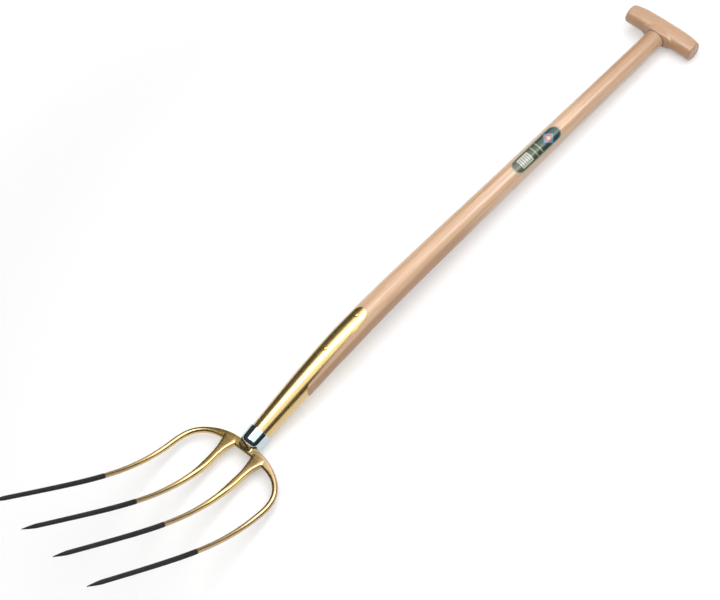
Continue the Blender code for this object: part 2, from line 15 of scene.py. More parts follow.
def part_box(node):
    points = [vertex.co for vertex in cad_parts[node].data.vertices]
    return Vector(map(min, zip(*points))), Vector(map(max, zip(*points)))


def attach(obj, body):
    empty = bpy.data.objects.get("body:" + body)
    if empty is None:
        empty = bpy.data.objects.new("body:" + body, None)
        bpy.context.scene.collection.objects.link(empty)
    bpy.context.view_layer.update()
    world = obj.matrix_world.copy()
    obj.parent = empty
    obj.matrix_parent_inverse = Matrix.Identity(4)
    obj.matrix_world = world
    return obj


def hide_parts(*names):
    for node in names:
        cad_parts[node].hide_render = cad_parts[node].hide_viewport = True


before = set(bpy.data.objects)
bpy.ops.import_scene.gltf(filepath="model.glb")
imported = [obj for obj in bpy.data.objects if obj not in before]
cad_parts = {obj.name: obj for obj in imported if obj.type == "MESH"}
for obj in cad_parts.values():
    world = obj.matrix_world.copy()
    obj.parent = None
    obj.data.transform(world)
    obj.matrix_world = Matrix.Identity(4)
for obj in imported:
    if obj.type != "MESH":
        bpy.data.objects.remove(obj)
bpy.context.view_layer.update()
ROOT = "root"
ROUND = 2.0

# Side profile
BACK_START = 0.520
BACK_END = 0.850
BACK_ANGLE = math.radians(-9.7)
DISH_START = 0.8635
DISH_REACH = 0.1264
DISH_EASE = 1.864
DISH_ANGLE = math.radians(52.0)
TOOL_LENGTH = 1.2497
PROFILE_STEP = 0.001

# Shaft
SHOULDER_S = 0.0163
SHAFT_TOP_R = 0.0144
SHAFT_SWELL = 0.0048
SWELL_S = 0.680
SWELL_EASE = 1.1
TAPER_START = 0.690
TAPER_DROP = 0.0056
TAPER_EASE = 1.3
SHAFT_FOOT_S = 0.857
SHAFT_SIDES = 96
SHOULDER_ROUND = 0.0006
SHOULDER_ROUND_STEPS = 4
TENON_R = 0.0100
TENON_HOLE_R = 0.0103
TENON_TOP_S = -0.026
TENON_SINK = 0.002
TRIM_CENTRE_S = -0.045
TRIM_DEPTH = 0.080
TRIM_WIDTH = 0.070
TRIM_RINGS = 60
MORTISE_HALF = 0.030
ROUND_SIDES = 64

# Grip
GRIP_TURN = math.radians(-8.0)
GRIP_HALF = 0.0587
GRIP_S = 0.0010
GRIP_Y = 0.0010
GRIP_END_X = 0.0140
GRIP_END_Z = 0.0136
GRIP_ARCH = 0.0028
GRIP_SWELL_X = 0.00258
GRIP_SWELL_Z = 0.0016
GRIP_ROUND = 0.0028
GRIP_ROUND_IN = 0.00224
BOSS_END_S = 0.0160
BOSS_R = 0.0150
BOSS_THIN = 0.0006
BOSS_FLARE = 0.0150
BOSS_FILLET = 0.0026
BOSS_EASE = 1.67
BOSS_RINGS = 12
GRIP_SIDES = 96
GRIP_RINGS = 90
GRIP_END_STEPS = 8
GRIP_VOXEL = 0.0007
GRIP_PASSES = 14
WEDGE_TOP_S = -0.0300
WEDGE_TIP_S = 0.0000
WEDGE_THICK = 0.0032
WEDGE_THIN = 0.0010
WEDGE_HALF_Z = 0.0076

# Socket and ring
SHEET = 0.0016
PROUD = 0.0007
STRAP_TIP_S = 0.6465
STRAP_ROUND = 0.0160
STRAP_HALVINGS = 40
STRAP_OUTLINE_POINTS = 400
WINDOW_HALF = 0.0153
WINDOW_TAPER_S = 0.690
WINDOW_ROUND_S = 0.7714
WINDOW_ROUND = 0.0114
WINDOW_EASE = 1.25
SOCKET_END_S = 0.8720
GAP = 0.0003
SHEET_ROUND = 0.00045
SHEET_EDGE = math.radians(50)
SHEET_ROWS = 64
SHEET_ROWS_EASE = 1.25
SHEET_SIDE_TURN = math.radians(52)
STRAP_COLUMNS = 18
STRAP_EDGE_COLUMNS = 26
SHEET_SIDE_COLUMNS = 14
STRAP_SEAM_REACH = 0.012
RING_TOP_S = 0.8603
RING_NOSE_S = 0.8775
RING_END_S = 0.8855
RING_SEAT_S = 0.8723
RING_HOLE_R = 0.0110
RING_WALL = 0.0019
RING_SIDES = 128
RING_RIM_STEPS = 12
RING_SIDE_STEPS = 11
RING_NOSE_STEPS = 20

# Rivets
RIVET_S = {"rivet_upper": 0.6610, "rivet_lower": 0.7230}
RIVET_R = 0.0022
RIVET_HEAD_R = 0.0033
RIVET_HEAD_H = 0.0013
RIVET_HEAD_SIDES = 32
PIN_SIDES = 24

# Stretches of the shaft, with its rings closest where the straps lie on it
BARE_SHAFT = (SHOULDER_S + 0.004, STRAP_TIP_S - 0.010)
BARE_RINGS = 150
STRAPPED_SHAFT = (STRAP_TIP_S - 0.008, WINDOW_ROUND_S + WINDOW_ROUND + 0.002)
STRAPPED_RINGS = 190
COVERED_SHAFT = (WINDOW_ROUND_S + WINDOW_ROUND + 0.006, SHAFT_FOOT_S)
COVERED_RINGS = 16
COVERED_THINNER = 0.0012

# Head
BAR_S = 0.8890
SHOULDER_END_S = 0.9560
SHOULDER_Y = 0.0862
OUTER_TIP_Y = 0.09118
SHOULDER_POWER_Y = 2.5
SHOULDER_POWER_S = 3.14
SHOULDER_STEPS = 800
SHOULDER_STEP_EASE = 0.8
SHOULDER_R = 0.00425
BAR_HALF_WIDTH = 0.0068
BAR_HALF_THICK = 0.0048
BAR_FLAT_Y = 0.022
BAR_ROUND_Y = 0.068
BAR_SQUARENESS = 4.2
INNER_ROOT_Y = 0.0266
INNER_Y = 0.0254
INNER_TIP_Y = 0.0294
ROOT_START_S = 0.890
ROOT_RISEN_S = 0.908
ROOT_LEVEL_S = 0.955
ROOT_RISE = 0.0020
ROOT_END_S = 0.926
ROOT_HALF_WIDTH = 0.0125
ROOT_SQUARENESS = 5.0
ROOT_ROUND_S = 0.965
ROOT_RINGS = 16
TINE_ROOT_R = 0.0050
TINE_SLIM_R = 0.00358
TINE_LOW_R = 0.0029
TINE_TIP_R = 0.0006
TINE_STOUT_S = 0.930
TINE_SLIM_S = 1.030
TINE_LOW_S = 1.275
POINT_S = 1.2250
POINT_EASE = 1.25
TINE_POINT_STEPS = 13
DIP_S = 1.0620
NECK_TOP_S = 0.8735
NECK_START_S = 0.8858
NECK_SINK_S = 0.8940
NECK_R = 0.0105
NECK_SPREAD = 0.0170
NECK_SINK_HALF = 0.0042
HEAD_SIDES = 40
HEAD_STEP = 0.003
HEAD_VOXEL = 0.00075
HEAD_PASSES = 4
NECK_SIDES = 64
NECK_RINGS = 14

# Label
LABEL_S = 0.2945
LABEL_LENGTH = 0.1000
LABEL_WIDTH = 0.0250
LABEL_ANGLE = math.radians(24.0)
LABEL_FOIL = 0.0002
MILLIMETRES = 1000.0

# Camera, placed in the drawing's own axes
CAMERA_PLACE = (1.47755, 1.16617, 1.87232)
CAMERA_RIGHT = (-0.67740, 0.71973, -0.15201)
CAMERA_DOWN = (0.64396, 0.48032, -0.59549)
CAMERA_LENS = 87.46
SENSOR_WIDTH = 36.0

# Studio
KEY_CENTRE = (-0.25, 0.62, 1.80)
KEY_SIZE = (2.6, 2.6)
KEY_RADIANCE = 2.5
SOFTBOX_CENTRE = (-0.30, 0.49, 1.62)
SOFTBOX_SIZE = (2.2, 2.73)
SOFTBOX_RADIANCE = 1.5
CORE_CENTRE = (-0.65, 0.44, 1.58)
CORE_SIZE = (3.0, 0.66)
CORE_TURN = math.radians(-33.0)
CORE_RADIANCE = 4.2
BACK_GLOW_WAY = (-0.80, -0.15, 0.58)
BACK_GLOW = 1.5
BACK_GLOW_EDGE = math.radians(34)
BACK_GLOW_FULL = math.radians(12)
ROOM_LOW = 0.015
ROOM_HIGH = 0.085
ROOM_HIGH_AT = 0.6
SIDE_LAMP_PLACE = (-1.6, -4.0, 2.6)
SIDE_LAMP_SIZE = 1.1
SIDE_LAMP_POWER = 24.0
FLOOR_SIZE = 40.0
FLOOR_COLOUR = 0.66
FLOOR_LIFT = 0.36
FLOOR_FAR_LIFT = 0.95
FLOOR_NEAR = 0.55
FLOOR_FAR = 1.5
FLOOR_DROP = 0.0002

# Vertices measured at a time
BLOCK = 4000


def smooth(value, low, high):
    """Rises from 0 at low to 1 at high, level at both ends."""
    u = min(max((value - low) / (high - low), 0.0), 1.0)
    return u * u * (3.0 - 2.0 * u)


def lean(s):
    """Angle of the side profile at distance s, positive towards the face."""
    back = BACK_ANGLE * smooth(s, BACK_START, BACK_END)
    beyond = max(s - DISH_START, 0.0) / DISH_REACH
    return back + DISH_ANGLE * (1.0 - math.exp(-(beyond**DISH_EASE)))


def profile_table():
    """Distances along the tool with the x and z that each one reaches."""
    s = np.arange(0.0, TOOL_LENGTH + 2 * PROFILE_STEP, PROFILE_STEP)
    angles = np.array([lean(value) for value in s + PROFILE_STEP / 2])
    x = np.concatenate([[0.0], np.cumsum(np.cos(angles[:-1]) * PROFILE_STEP)])
    z = np.concatenate([[0.0], np.cumsum(np.sin(angles[:-1]) * PROFILE_STEP)])
    return s, x, z


PROFILE_S, PROFILE_X, PROFILE_Z = profile_table()


def bent(s, y, h):
    """A point of the straight drawing, moved to the bent tool."""
    angle = lean(max(s, 0.0))
    x = float(np.interp(s, PROFILE_S, PROFILE_X)) + min(s, 0.0)
    z = float(np.interp(s, PROFILE_S, PROFILE_Z))
    return Vector((x - h * math.sin(angle), y, z + h * math.cos(angle)))


def middle_of(node):
    """Middle of a node's box in the frame."""
    low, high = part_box(node)
    return (Vector(low) + Vector(high)) / 2


def lie_of_the_tool():
    """The matrix that lays the drawing where the frame's two rivets are."""
    upper, lower = middle_of("rivet_upper"), middle_of("rivet_lower")
    drawn_upper = bent(RIVET_S["rivet_upper"], 0.0, 0.0)
    drawn_lower = bent(RIVET_S["rivet_lower"], 0.0, 0.0)
    real = lower - upper
    drawn = drawn_lower - drawn_upper
    tilt = math.atan2(drawn.z, drawn.x) - math.atan2(real.z, real.x)
    turn = Matrix.Rotation(tilt, 4, "Y")
    return Matrix.Translation(upper - turn @ drawn_upper) @ turn


LIE = lie_of_the_tool()


def laid(s, y, h):
    """A point of the straight drawing, bent and laid in the frame."""
    return LIE @ bent(s, y, h)


def wood_radius(s):
    """Radius of the bare shaft, thickest just above the socket."""
    swell = SHAFT_SWELL * (min(s, TAPER_START) / SWELL_S) ** SWELL_EASE
    fall = max(s - TAPER_START, 0.0) / (RING_TOP_S - TAPER_START)
    return SHAFT_TOP_R + swell - TAPER_DROP * fall**TAPER_EASE


def socket_radius(s):
    """Outer radius of the socket, which stands a little proud of the wood."""
    return wood_radius(s) + PROUD


def ring_radius(s):
    """Outer radius of the bright ring above its nose."""
    return socket_radius(s) + GAP + RING_WALL


def oval_point(turn, half_width, half_height, power=ROUND):
    """A point of a superellipse: power 2 is an ellipse, 1 a diamond, 4 a rounded rectangle."""
    angle = 2.0 * math.pi * turn
    wide, high = math.cos(angle), math.sin(angle)
    across = math.copysign(abs(wide) ** (2.0 / power), wide) * half_width
    up = math.copysign(abs(high) ** (2.0 / power), high) * half_height
    return across, up


def add_object(name, data):
    """A new object, linked to the scene."""
    thing = bpy.data.objects.new(name, data)
    bpy.context.scene.collection.objects.link(thing)
    return thing


def add_piece(name, shape, material):
    """An object from a bmesh, smooth shaded, with outward faces."""
    bmesh.ops.recalc_face_normals(shape, faces=shape.faces)
    mesh = bpy.data.meshes.new(name)
    shape.to_mesh(mesh)
    shape.free()
    mesh.shade_smooth()
    piece = add_object(name, mesh)
    if material is not None:
        piece.data.materials.append(material)
    return piece


def turned_point(turn, s, radius):
    """A point at a radius from the tool's axis, at an angle from its face."""
    return laid(s, radius * math.sin(turn), radius * math.cos(turn))


def join_rings(shape, rings):
    """Quads between each ring of vertices and the next."""
    for ring, after in zip(rings, rings[1:]):
        for column in range(len(ring)):
            beside = (column + 1) % len(ring)
            shape.faces.new((ring[column], ring[beside], after[beside], after[column]))


def lofted_shape(rows, columns, place, shape=None):
    """A capped tube of rings: place(row, turn) gives each point, with turn from 0 to 1."""
    shape = shape or bmesh.new()
    rings = []
    for row in range(rows):
        rings.append([shape.verts.new(place(row, column / columns)) for column in range(columns)])
    join_rings(shape, rings)
    shape.faces.new(rings[0])
    shape.faces.new(rings[-1])
    return shape


def box_shape(place):
    """A box: place(x, y, z) gives each corner for numbers of -0.5 or 0.5."""
    shape = bmesh.new()
    bmesh.ops.create_cube(shape, size=1.0)
    for vertex in shape.verts:
        vertex.co = place(*vertex.co)
    return shape


def shade(piece, sharp):
    """Smooth shading, broken where faces meet at more than sharp degrees."""
    piece.data.shade_smooth()
    piece.data.set_sharp_from_angle(angle=math.radians(sharp))


def finished_mesh(piece):
    """A plain mesh of the piece with its modifiers applied."""
    bpy.context.view_layer.update()
    graph = bpy.context.evaluated_depsgraph_get()
    return bpy.data.meshes.new_from_object(piece.evaluated_get(graph))


def settle(piece):
    """Applies the piece's modifiers and leaves a plain mesh."""
    mesh = finished_mesh(piece)
    piece.modifiers.clear()
    old = piece.data
    piece.data = mesh
    if old.users == 0 and isinstance(old, bpy.types.Mesh):
        bpy.data.meshes.remove(old)
    return piece


def modify(piece, kind, **settings):
    """Applies one modifier with its settings."""
    modifier = piece.modifiers.new(kind.lower(), kind)
    for name, value in settings.items():
        setattr(modifier, name, value)
    return settle(piece)


def cut(piece, other, operation="DIFFERENCE"):
    """A boolean with another object, which is then removed."""
    modify(piece, "BOOLEAN", operation=operation, solver="EXACT", object=other)
    bpy.data.objects.remove(other)
    return piece


def remelt(piece, voxel, passes):
    """Fuses crossing tubes into one skin and smooths the steps away."""
    modify(piece, "REMESH", mode="VOXEL", voxel_size=voxel, use_smooth_shade=True)
    return modify(piece, "SMOOTH", factor=0.5, iterations=passes)


def mark_drawn(piece):
    """Stores each vertex's place in the straight drawing, which the finishes are painted by."""
    mesh = piece.data
    points = np.empty(len(mesh.vertices) * 3)
    mesh.vertices.foreach_get("co", points)
    points = points.reshape(-1, 3)
    back = np.array(LIE.inverted())
    points = points @ back[:3, :3].T + back[:3, 3]
    angles = np.array([lean(s) for s in PROFILE_S])
    drawn = np.empty_like(points)
    for first in range(0, len(points), BLOCK):
        block = points[first : first + BLOCK]
        along_x = block[:, :1] - PROFILE_X
        along_z = block[:, 2:] - PROFILE_Z
        nearest = (along_x**2 + along_z**2).argmin(axis=1)
        row = np.arange(len(block))
        dx, dz = along_x[row, nearest], along_z[row, nearest]
        angle = angles[nearest]
        drawn[first : first + BLOCK, 0] = PROFILE_S[nearest] + dx * np.cos(angle) + dz * np.sin(angle)
        drawn[first : first + BLOCK, 1] = block[:, 1]
        drawn[first : first + BLOCK, 2] = dz * np.cos(angle) - dx * np.sin(angle)
    stored = mesh.attributes.new("drawn", "FLOAT_VECTOR", "POINT")
    stored.data.foreach_set("vector", drawn.ravel())


def keep(piece, node):
    """Hands a finished piece to the frame, marked with its place in the drawing."""
    mark_drawn(piece)
    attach(piece, ROOT)
    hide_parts(node)


# Shader and geometry nodes

def feed(tree, socket, value):
    """Links an output to a socket, or sets the socket's own value."""
    if isinstance(value, bpy.types.NodeSocket):
        tree.links.new(value, socket)
    elif socket.type == "RGBA":
        socket.default_value = (*value, 1.0)
    else:
        socket.default_value = value


def add_node(tree, kind, inputs=(), **settings):
    """A node with its settings, and with the inputs given by name or number."""
    node = tree.nodes.new(kind)
    for name, value in settings.items():
        setattr(node, name, value)
    for name, value in dict(inputs).items():
        feed(tree, node.inputs[name], value)
    return node


def maths(tree, operation, *values):
    """A Math node's result for numbers or outputs."""
    return add_node(tree, "ShaderNodeMath", dict(enumerate(values)), operation=operation).outputs[0]


def product(tree, first, second):
    """Two numbers or outputs multiplied."""
    return maths(tree, "MULTIPLY", first, second)


def ramp(tree, value, low, high, to_low=0.0, to_high=1.0):
    """Smoothly maps low..high to to_low..to_high."""
    inputs = dict(enumerate((value, low, high, to_low, to_high)))
    return add_node(tree, "ShaderNodeMapRange", inputs, interpolation_type="SMOOTHSTEP").outputs[0]


def within(tree, value, edge, soft):
    """Mask that is 1 below the edge and 0 above it."""
    return ramp(tree, value, edge, edge - soft)


def blend_colour(tree, factor, first, second):
    """Mixes two colours."""
    inputs = {0: factor, 6: first, 7: second}
    return add_node(tree, "ShaderNodeMix", inputs, data_type="RGBA").outputs[2]


def split(tree, vector):
    """The three parts of a vector."""
    return add_node(tree, "ShaderNodeSeparateXYZ", {0: vector}).outputs


def joined(tree, *parts):
    """A vector of three parts."""
    return add_node(tree, "ShaderNodeCombineXYZ", dict(enumerate(parts))).outputs[0]


def scaled(tree, vector, scale):
    """A vector with each part times its own scale."""
    return add_node(tree, "ShaderNodeMapping", {"Vector": vector, "Scale": scale}).outputs[0]


def noise(tree, vector, scale=1.0, detail=3.0, roughness=0.5):
    """Soft noise, about 0.5 on average."""
    inputs = {"Vector": vector, "Scale": scale, "Detail": detail, "Roughness": roughness}
    return add_node(tree, "ShaderNodeTexNoise", inputs).outputs["Fac"]


def bump(tree, height, strength, distance):
    """Normals that show a fine relief."""
    inputs = {"Height": height, "Strength": strength, "Distance": distance}
    return add_node(tree, "ShaderNodeBump", inputs).outputs[0]


def attribute(tree, name, output="Vector"):
    """A value stored on the piece's vertices."""
    return add_node(tree, "ShaderNodeAttribute", attribute_name=name).outputs[output]


def new_material(name):
    """A material and its empty node tree."""
    material = bpy.data.materials.new(name)
    material.use_nodes = True
    material.node_tree.nodes.clear()
    return material, material.node_tree


def add_surface(tree, surface):
    """Ends a material in the surface given."""
    add_node(tree, "ShaderNodeOutputMaterial", {"Surface": surface})


def add_shader(tree, inputs):
    """Ends a material in a principled shader with the inputs given."""
    add_surface(tree, add_node(tree, "ShaderNodeBsdfPrincipled", inputs).outputs["BSDF"])


def new_group(kind, name, inputs, outputs):
    """A node group with (name, type, default) inputs and (name, type) outputs."""
    tree = bpy.data.node_groups.new(name, kind)
    for title, holds, default in inputs:
        socket = tree.interface.new_socket(title, in_out="INPUT", socket_type="NodeSocket" + holds)
        if default is not None:
            socket.default_value = default
    for title, holds in outputs:
        tree.interface.new_socket(title, in_out="OUTPUT", socket_type="NodeSocket" + holds)
    return tree, tree.nodes.new("NodeGroupInput").outputs, tree.nodes.new("NodeGroupOutput").inputs


def use_group(tree, group, inputs):
    """Places a group in a material."""
    return add_node(tree, "ShaderNodeGroup", inputs, node_tree=group).outputs


# Cells of noise in a metre, along the grain and across it
WANDER_CELLS = (7.0, 30.0, 30.0)
BAND_CELLS = (1.6, 95.0, 95.0)
STREAK_CELLS = (6.0, 460.0, 460.0)
PORE_CELLS = (45.0, 2100.0, 2100.0)
# How far the grain wanders across the wood
WANDER = (0.006, 0.004)


def wood_grain_group():
    """Ash grain running along X: soft bands, fine streaks and short open pores."""
    needs = [("Place", "Vector", None)]
    results = [(title, "Float") for title in ("Band", "Streak", "Pore", "Height")]
    tree, inside, outside = new_group("ShaderNodeTree", "ash grain", needs, results)
    place = inside["Place"]
    wander = noise(tree, scaled(tree, place, WANDER_CELLS), detail=1.0)
    shift = joined(tree, 0.0, *(product(tree, wander, reach) for reach in WANDER))
    grain = add_node(tree, "ShaderNodeVectorMath", {0: place, 1: shift}, operation="ADD").outputs[0]
    band = noise(tree, scaled(tree, grain, BAND_CELLS), detail=2.0)
    streak = noise(tree, scaled(tree, grain, STREAK_CELLS), detail=3.0, roughness=0.6)
    pore = noise(tree, scaled(tree, grain, PORE_CELLS), detail=1.0)
    pores = ramp(tree, pore, 0.62, 0.72)
    feed(tree, outside["Band"], ramp(tree, band, 0.36, 0.64))
    feed(tree, outside["Streak"], ramp(tree, streak, 0.40, 0.64))
    feed(tree, outside["Pore"], pores)
    feed(tree, outside["Height"], maths(tree, "MULTIPLY_ADD", pores, -0.6, streak))
    return tree


def mottle_group():
    """Slow unevenness of a sprayed or dipped coat, with its fine orange peel."""
    needs = [("Place", "Vector", None), ("Size", "Float", 0.01)]
    results = [("Patch", "Float"), ("Peel", "Float")]
    tree, inside, outside = new_group("ShaderNodeTree", "coat mottle", needs, results)
    count = maths(tree, "DIVIDE", 1.0, inside["Size"])
    for title, times, detail in (("Patch", 1.0, 3.0), ("Peel", 14.0, 2.0)):
        lumps = noise(tree, inside["Place"], product(tree, count, times), detail)
        feed(tree, outside[title], ramp(tree, lumps, 0.3, 0.7))
    return tree


ASH_GRAIN = wood_grain_group()
COAT_MOTTLE = mottle_group()

ASH_PALE = (0.77, 0.53, 0.355)
ASH_WARM = (0.66, 0.415, 0.255)
ASH_HEART_AND_SHADE = (0.53, 0.30, 0.165)
ASH_DARK = (0.43, 0.245, 0.13)
PORE_BROWN = (0.36, 0.21, 0.12)
SEAM_BROWN = (0.13, 0.08, 0.045)
BAND_STRENGTH = 0.55
STREAK_STRENGTH = 0.46
PORE_STRENGTH = 0.25

# Dark heartwood streak on one side of the shaft, deepened there as painted shade on that flank: its
# edge round the shaft, and where it starts and drifts
HEART_AND_SHADE_EDGE = (math.radians(52), math.radians(62))
HEART_AND_SHADE_ALONG = (0.40, 0.50)
HEART_AND_SHADE_DRIFT = math.radians(6)
HEART_AND_SHADE_DRIFT_ALONG = (0.50, 0.60)
HEART_AND_SHADE_STRENGTH = 0.85
WARMER_ALONG = (0.30, 0.62)
WARMER_STRENGTH = 0.12
# Warmer wood near the grip, kept to the shaft's face and -Y side as painted shade there
GRIP_SIDE_SHADE_EDGE = (math.radians(5), math.radians(75))
GRIP_SIDE_SHADE_ALONG = (0.02, 0.28)
GRIP_SIDE_SHADE_STRENGTH = 0.95
# Worn varnish towards the socket
VARNISH_ALONG = (0.36, 0.52)
VARNISH_FULL = 0.7
VARNISH_WORN = 0.1
# Dirt in the joints; along the straps' edge the dark line is also painted shade of the step
SHOULDER_SEAM = (0.0003, 0.0014)
BOSS_SEAM = (-0.0008, -0.0002)
STRAP_SEAM = 0.0011
# The grip's wood is darker all over, and painted shade darkens it further low on its sides
GRIP_LOW_SHADE_H = (-0.006, 0.012)
GRIP_WARMTH = 0.74
GRIP_GRAIN_SHIFT = 3.0


def finish_wood(tree, place, tone_and_painted_shade, seam, varnish=0.6):
    """The wood's shader; its third argument darkens the wood, for its own tone and as painted shade,
    and seam marks dirty joints, with painted shade along the straps.
    """
    grain = use_group(tree, ASH_GRAIN, {"Place": place})
    band = product(tree, grain["Band"], BAND_STRENGTH)
    colour = blend_colour(tree, band, ASH_PALE, ASH_WARM)
    colour = blend_colour(tree, tone_and_painted_shade, colour, ASH_HEART_AND_SHADE)
    streak = product(tree, grain["Streak"], STREAK_STRENGTH)
    colour = blend_colour(tree, streak, colour, ASH_DARK)
    pore = product(tree, grain["Pore"], PORE_STRENGTH)
    colour = blend_colour(tree, pore, colour, PORE_BROWN)
    add_shader(tree, {
        "Base Color": blend_colour(tree, seam, colour, SEAM_BROWN),
        "Roughness": ramp(tree, grain["Streak"], 0.0, 1.0, 0.26, 0.34),
        "Normal": bump(tree, grain["Height"], 0.25, 0.00012),
        "Coat Weight": varnish,
        "Coat Roughness": 0.20,
    })


def ash_material():
    """Satin ash of the shaft, a little darker towards the socket, darker along its heart side with
    painted shade there, and with painted shade on its face and -Y side near the grip.
    """
    material, tree = new_material("ash")
    drawn = attribute(tree, "drawn")
    s, y, h = split(tree, drawn)
    turn = maths(tree, "ARCTAN2", y, h)
    aside = maths(tree, "SUBTRACT", turn, ramp(tree, s, *HEART_AND_SHADE_DRIFT_ALONG, 0.0, HEART_AND_SHADE_DRIFT))
    # Heartwood streak on the far flank, deepened as painted shade
    heart_and_shade = product(tree, ramp(tree, aside, *HEART_AND_SHADE_EDGE), ramp(tree, s, *HEART_AND_SHADE_ALONG))
    warmer = ramp(tree, s, *WARMER_ALONG, 0.0, WARMER_STRENGTH)
    tone_and_painted_shade = maths(tree, "MULTIPLY_ADD", heart_and_shade, HEART_AND_SHADE_STRENGTH, warmer)
    # Painted shade on the face and -Y side of the shaft near the grip
    grip_side_shade = ramp(tree, turn, *GRIP_SIDE_SHADE_EDGE, 1.0, 0.0)
    near_grip_shade = ramp(tree, s, *GRIP_SIDE_SHADE_ALONG, GRIP_SIDE_SHADE_STRENGTH, 0.0)
    tone_and_painted_shade = maths(tree, "MAXIMUM", tone_and_painted_shade, product(tree, grip_side_shade, near_grip_shade))
    below_shoulder = maths(tree, "SUBTRACT", s, SHOULDER_S)
    shoulder = ramp(tree, below_shoulder, *SHOULDER_SEAM, 0.55, 0.0)
    seam = maths(tree, "MAXIMUM", shoulder, seam_near_straps(tree))
    varnish = ramp(tree, s, *VARNISH_ALONG, VARNISH_FULL, VARNISH_WORN)
    finish_wood(tree, drawn, tone_and_painted_shade, seam, varnish)
    return material


def seam_near_straps(tree):
    """Dark line where the wood meets the straps: dirt in the joint and painted shade of the step."""
    return ramp(tree, attribute(tree, "strap_gap", "Fac"), 0.0, STRAP_SEAM, 0.85, 0.0)


def grip_material():
    """Ash of the grip, with its grain along the crosspiece."""
    material, tree = new_material("ash_grip")
    s, y, h = split(tree, attribute(tree, "drawn"))
    place = joined(tree, maths(tree, "ADD", y, GRIP_GRAIN_SHIFT), s, h)
    below_boss = maths(tree, "SUBTRACT", s, BOSS_END_S)
    shoulder = ramp(tree, below_boss, *BOSS_SEAM, 0.0, 0.5)
    # Darker grip wood, with painted shade low on its sides
    tone_and_painted_shade = ramp(tree, h, *GRIP_LOW_SHADE_H, 1.0, GRIP_WARMTH)
    finish_wood(tree, place, tone_and_painted_shade, shoulder, 0.3)
    return material


def wedge_material():
    """End grain of the wedge in the tenon."""
    material, tree = new_material("wedge_wood")
    finish_wood(tree, attribute(tree, "drawn"), 0.9, 0.35)
    return material


GOLD = (0.63, 0.43, 0.135)
GOLD_DEEP = (0.56, 0.36, 0.105)
GOLD_BROWN_AND_SHADE = (0.36, 0.225, 0.085)
LACQUER_METAL = 0.93
LACQUER_IOR = 2.0
DIP_BLACK = (0.012, 0.0115, 0.011)
DIP_DUSTY = (0.022, 0.021, 0.020)
DIP_SOFT = 0.0004
RING_PLATE = (0.53, 0.63, 0.655)
TURNING_CELLS = (5200.0, 8.0, 8.0)

# Where the lacquer is browned down the tines, and where painted shade darkens the outer tine on the +Y
# side and the crossbar towards +Y
BURNT_ALONG = (0.975, 1.045)
SHADED_SIDE_Y = (0.050, 0.080)
SHADED_BAR_Y = (-0.035, 0.035)
SHADED_BAR_END_S = (0.905, 0.930)


def socket_material():
    """Glossy gold lacquer over smooth sheet."""
    material, tree = new_material("gold_lacquer")
    coat = use_group(tree, COAT_MOTTLE, {"Place": attribute(tree, "drawn"), "Size": 0.02})
    add_shader(tree, {
        "Base Color": blend_colour(tree, product(tree, coat["Patch"], 0.15), GOLD, GOLD_DEEP),
        "Metallic": LACQUER_METAL,
        "Roughness": ramp(tree, coat["Patch"], 0.0, 1.0, 0.25, 0.28),
        "Normal": bump(tree, coat["Peel"], 0.015, 0.00003),
        "Coat Weight": 1.0,
        "Coat Roughness": 0.14,
        "Coat IOR": LACQUER_IOR,
    })
    return material


def browned_lacquer_and_shade(tree, s, y):
    """How far the head's lacquer is browned towards the dip, and darkened by painted shade on the +Y
    outer tine and the crossbar.
    """
    down = ramp(tree, s, *BURNT_ALONG, 0.0, 0.9)
    # Painted shade over the +Y outer tine
    side = ramp(tree, y, *SHADED_SIDE_Y, 0.0, 0.65)
    # Painted shade across the crossbar, heaviest towards +Y
    across_bar_shade = ramp(tree, y, *SHADED_BAR_Y, 0.10, 0.75)
    bar_shade = product(tree, across_bar_shade, ramp(tree, s, *SHADED_BAR_END_S, 1.0, 0.0))
    return maths(tree, "MAXIMUM", maths(tree, "MAXIMUM", down, side), bar_shade)


def head_material():
    """Lacquered forging, browner towards the dip's sharp edge, darkened by painted shade on its +Y
    side, and matte black below it.
    """
    material, tree = new_material("gold_forging")
    drawn = attribute(tree, "drawn")
    s, y, _ = split(tree, drawn)
    dipped = ramp(tree, s, DIP_S - DIP_SOFT, DIP_S + DIP_SOFT)
    coat = use_group(tree, COAT_MOTTLE, {"Place": drawn, "Size": 0.012})
    gold = blend_colour(tree, product(tree, coat["Patch"], 0.30), GOLD, GOLD_DEEP)
    # Browned towards the dip, with painted shade on the +Y side
    gold = blend_colour(tree, browned_lacquer_and_shade(tree, s, y), gold, GOLD_BROWN_AND_SHADE)
    black = blend_colour(tree, product(tree, coat["Patch"], 0.6), DIP_BLACK, DIP_DUSTY)
    add_shader(tree, {
        "Base Color": blend_colour(tree, dipped, gold, black),
        "Metallic": ramp(tree, dipped, 0.0, 1.0, LACQUER_METAL, 0.0),
        "Roughness": ramp(tree, dipped, 0.0, 1.0, 0.24, 0.60),
        "Specular IOR Level": 0.22,
        "Normal": bump(tree, coat["Peel"], 0.012, 0.00004),
        "Coat Weight": ramp(tree, dipped, 0.0, 1.0, 0.9, 0.0),
        "Coat Roughness": 0.11,
        "Coat IOR": LACQUER_IOR,
    })
    return material


def ring_material():
    """Bright plated ring with faint turning marks round it."""
    material, tree = new_material("bright_ring")
    turned = noise(tree, scaled(tree, attribute(tree, "drawn"), TURNING_CELLS), detail=1.0)
    add_shader(tree, {
        "Base Color": RING_PLATE,
        "Metallic": 1.0,
        "Roughness": ramp(tree, turned, 0.3, 0.7, 0.05, 0.09),
        "Normal": bump(tree, turned, 0.05, 0.00002),
    })
    return material


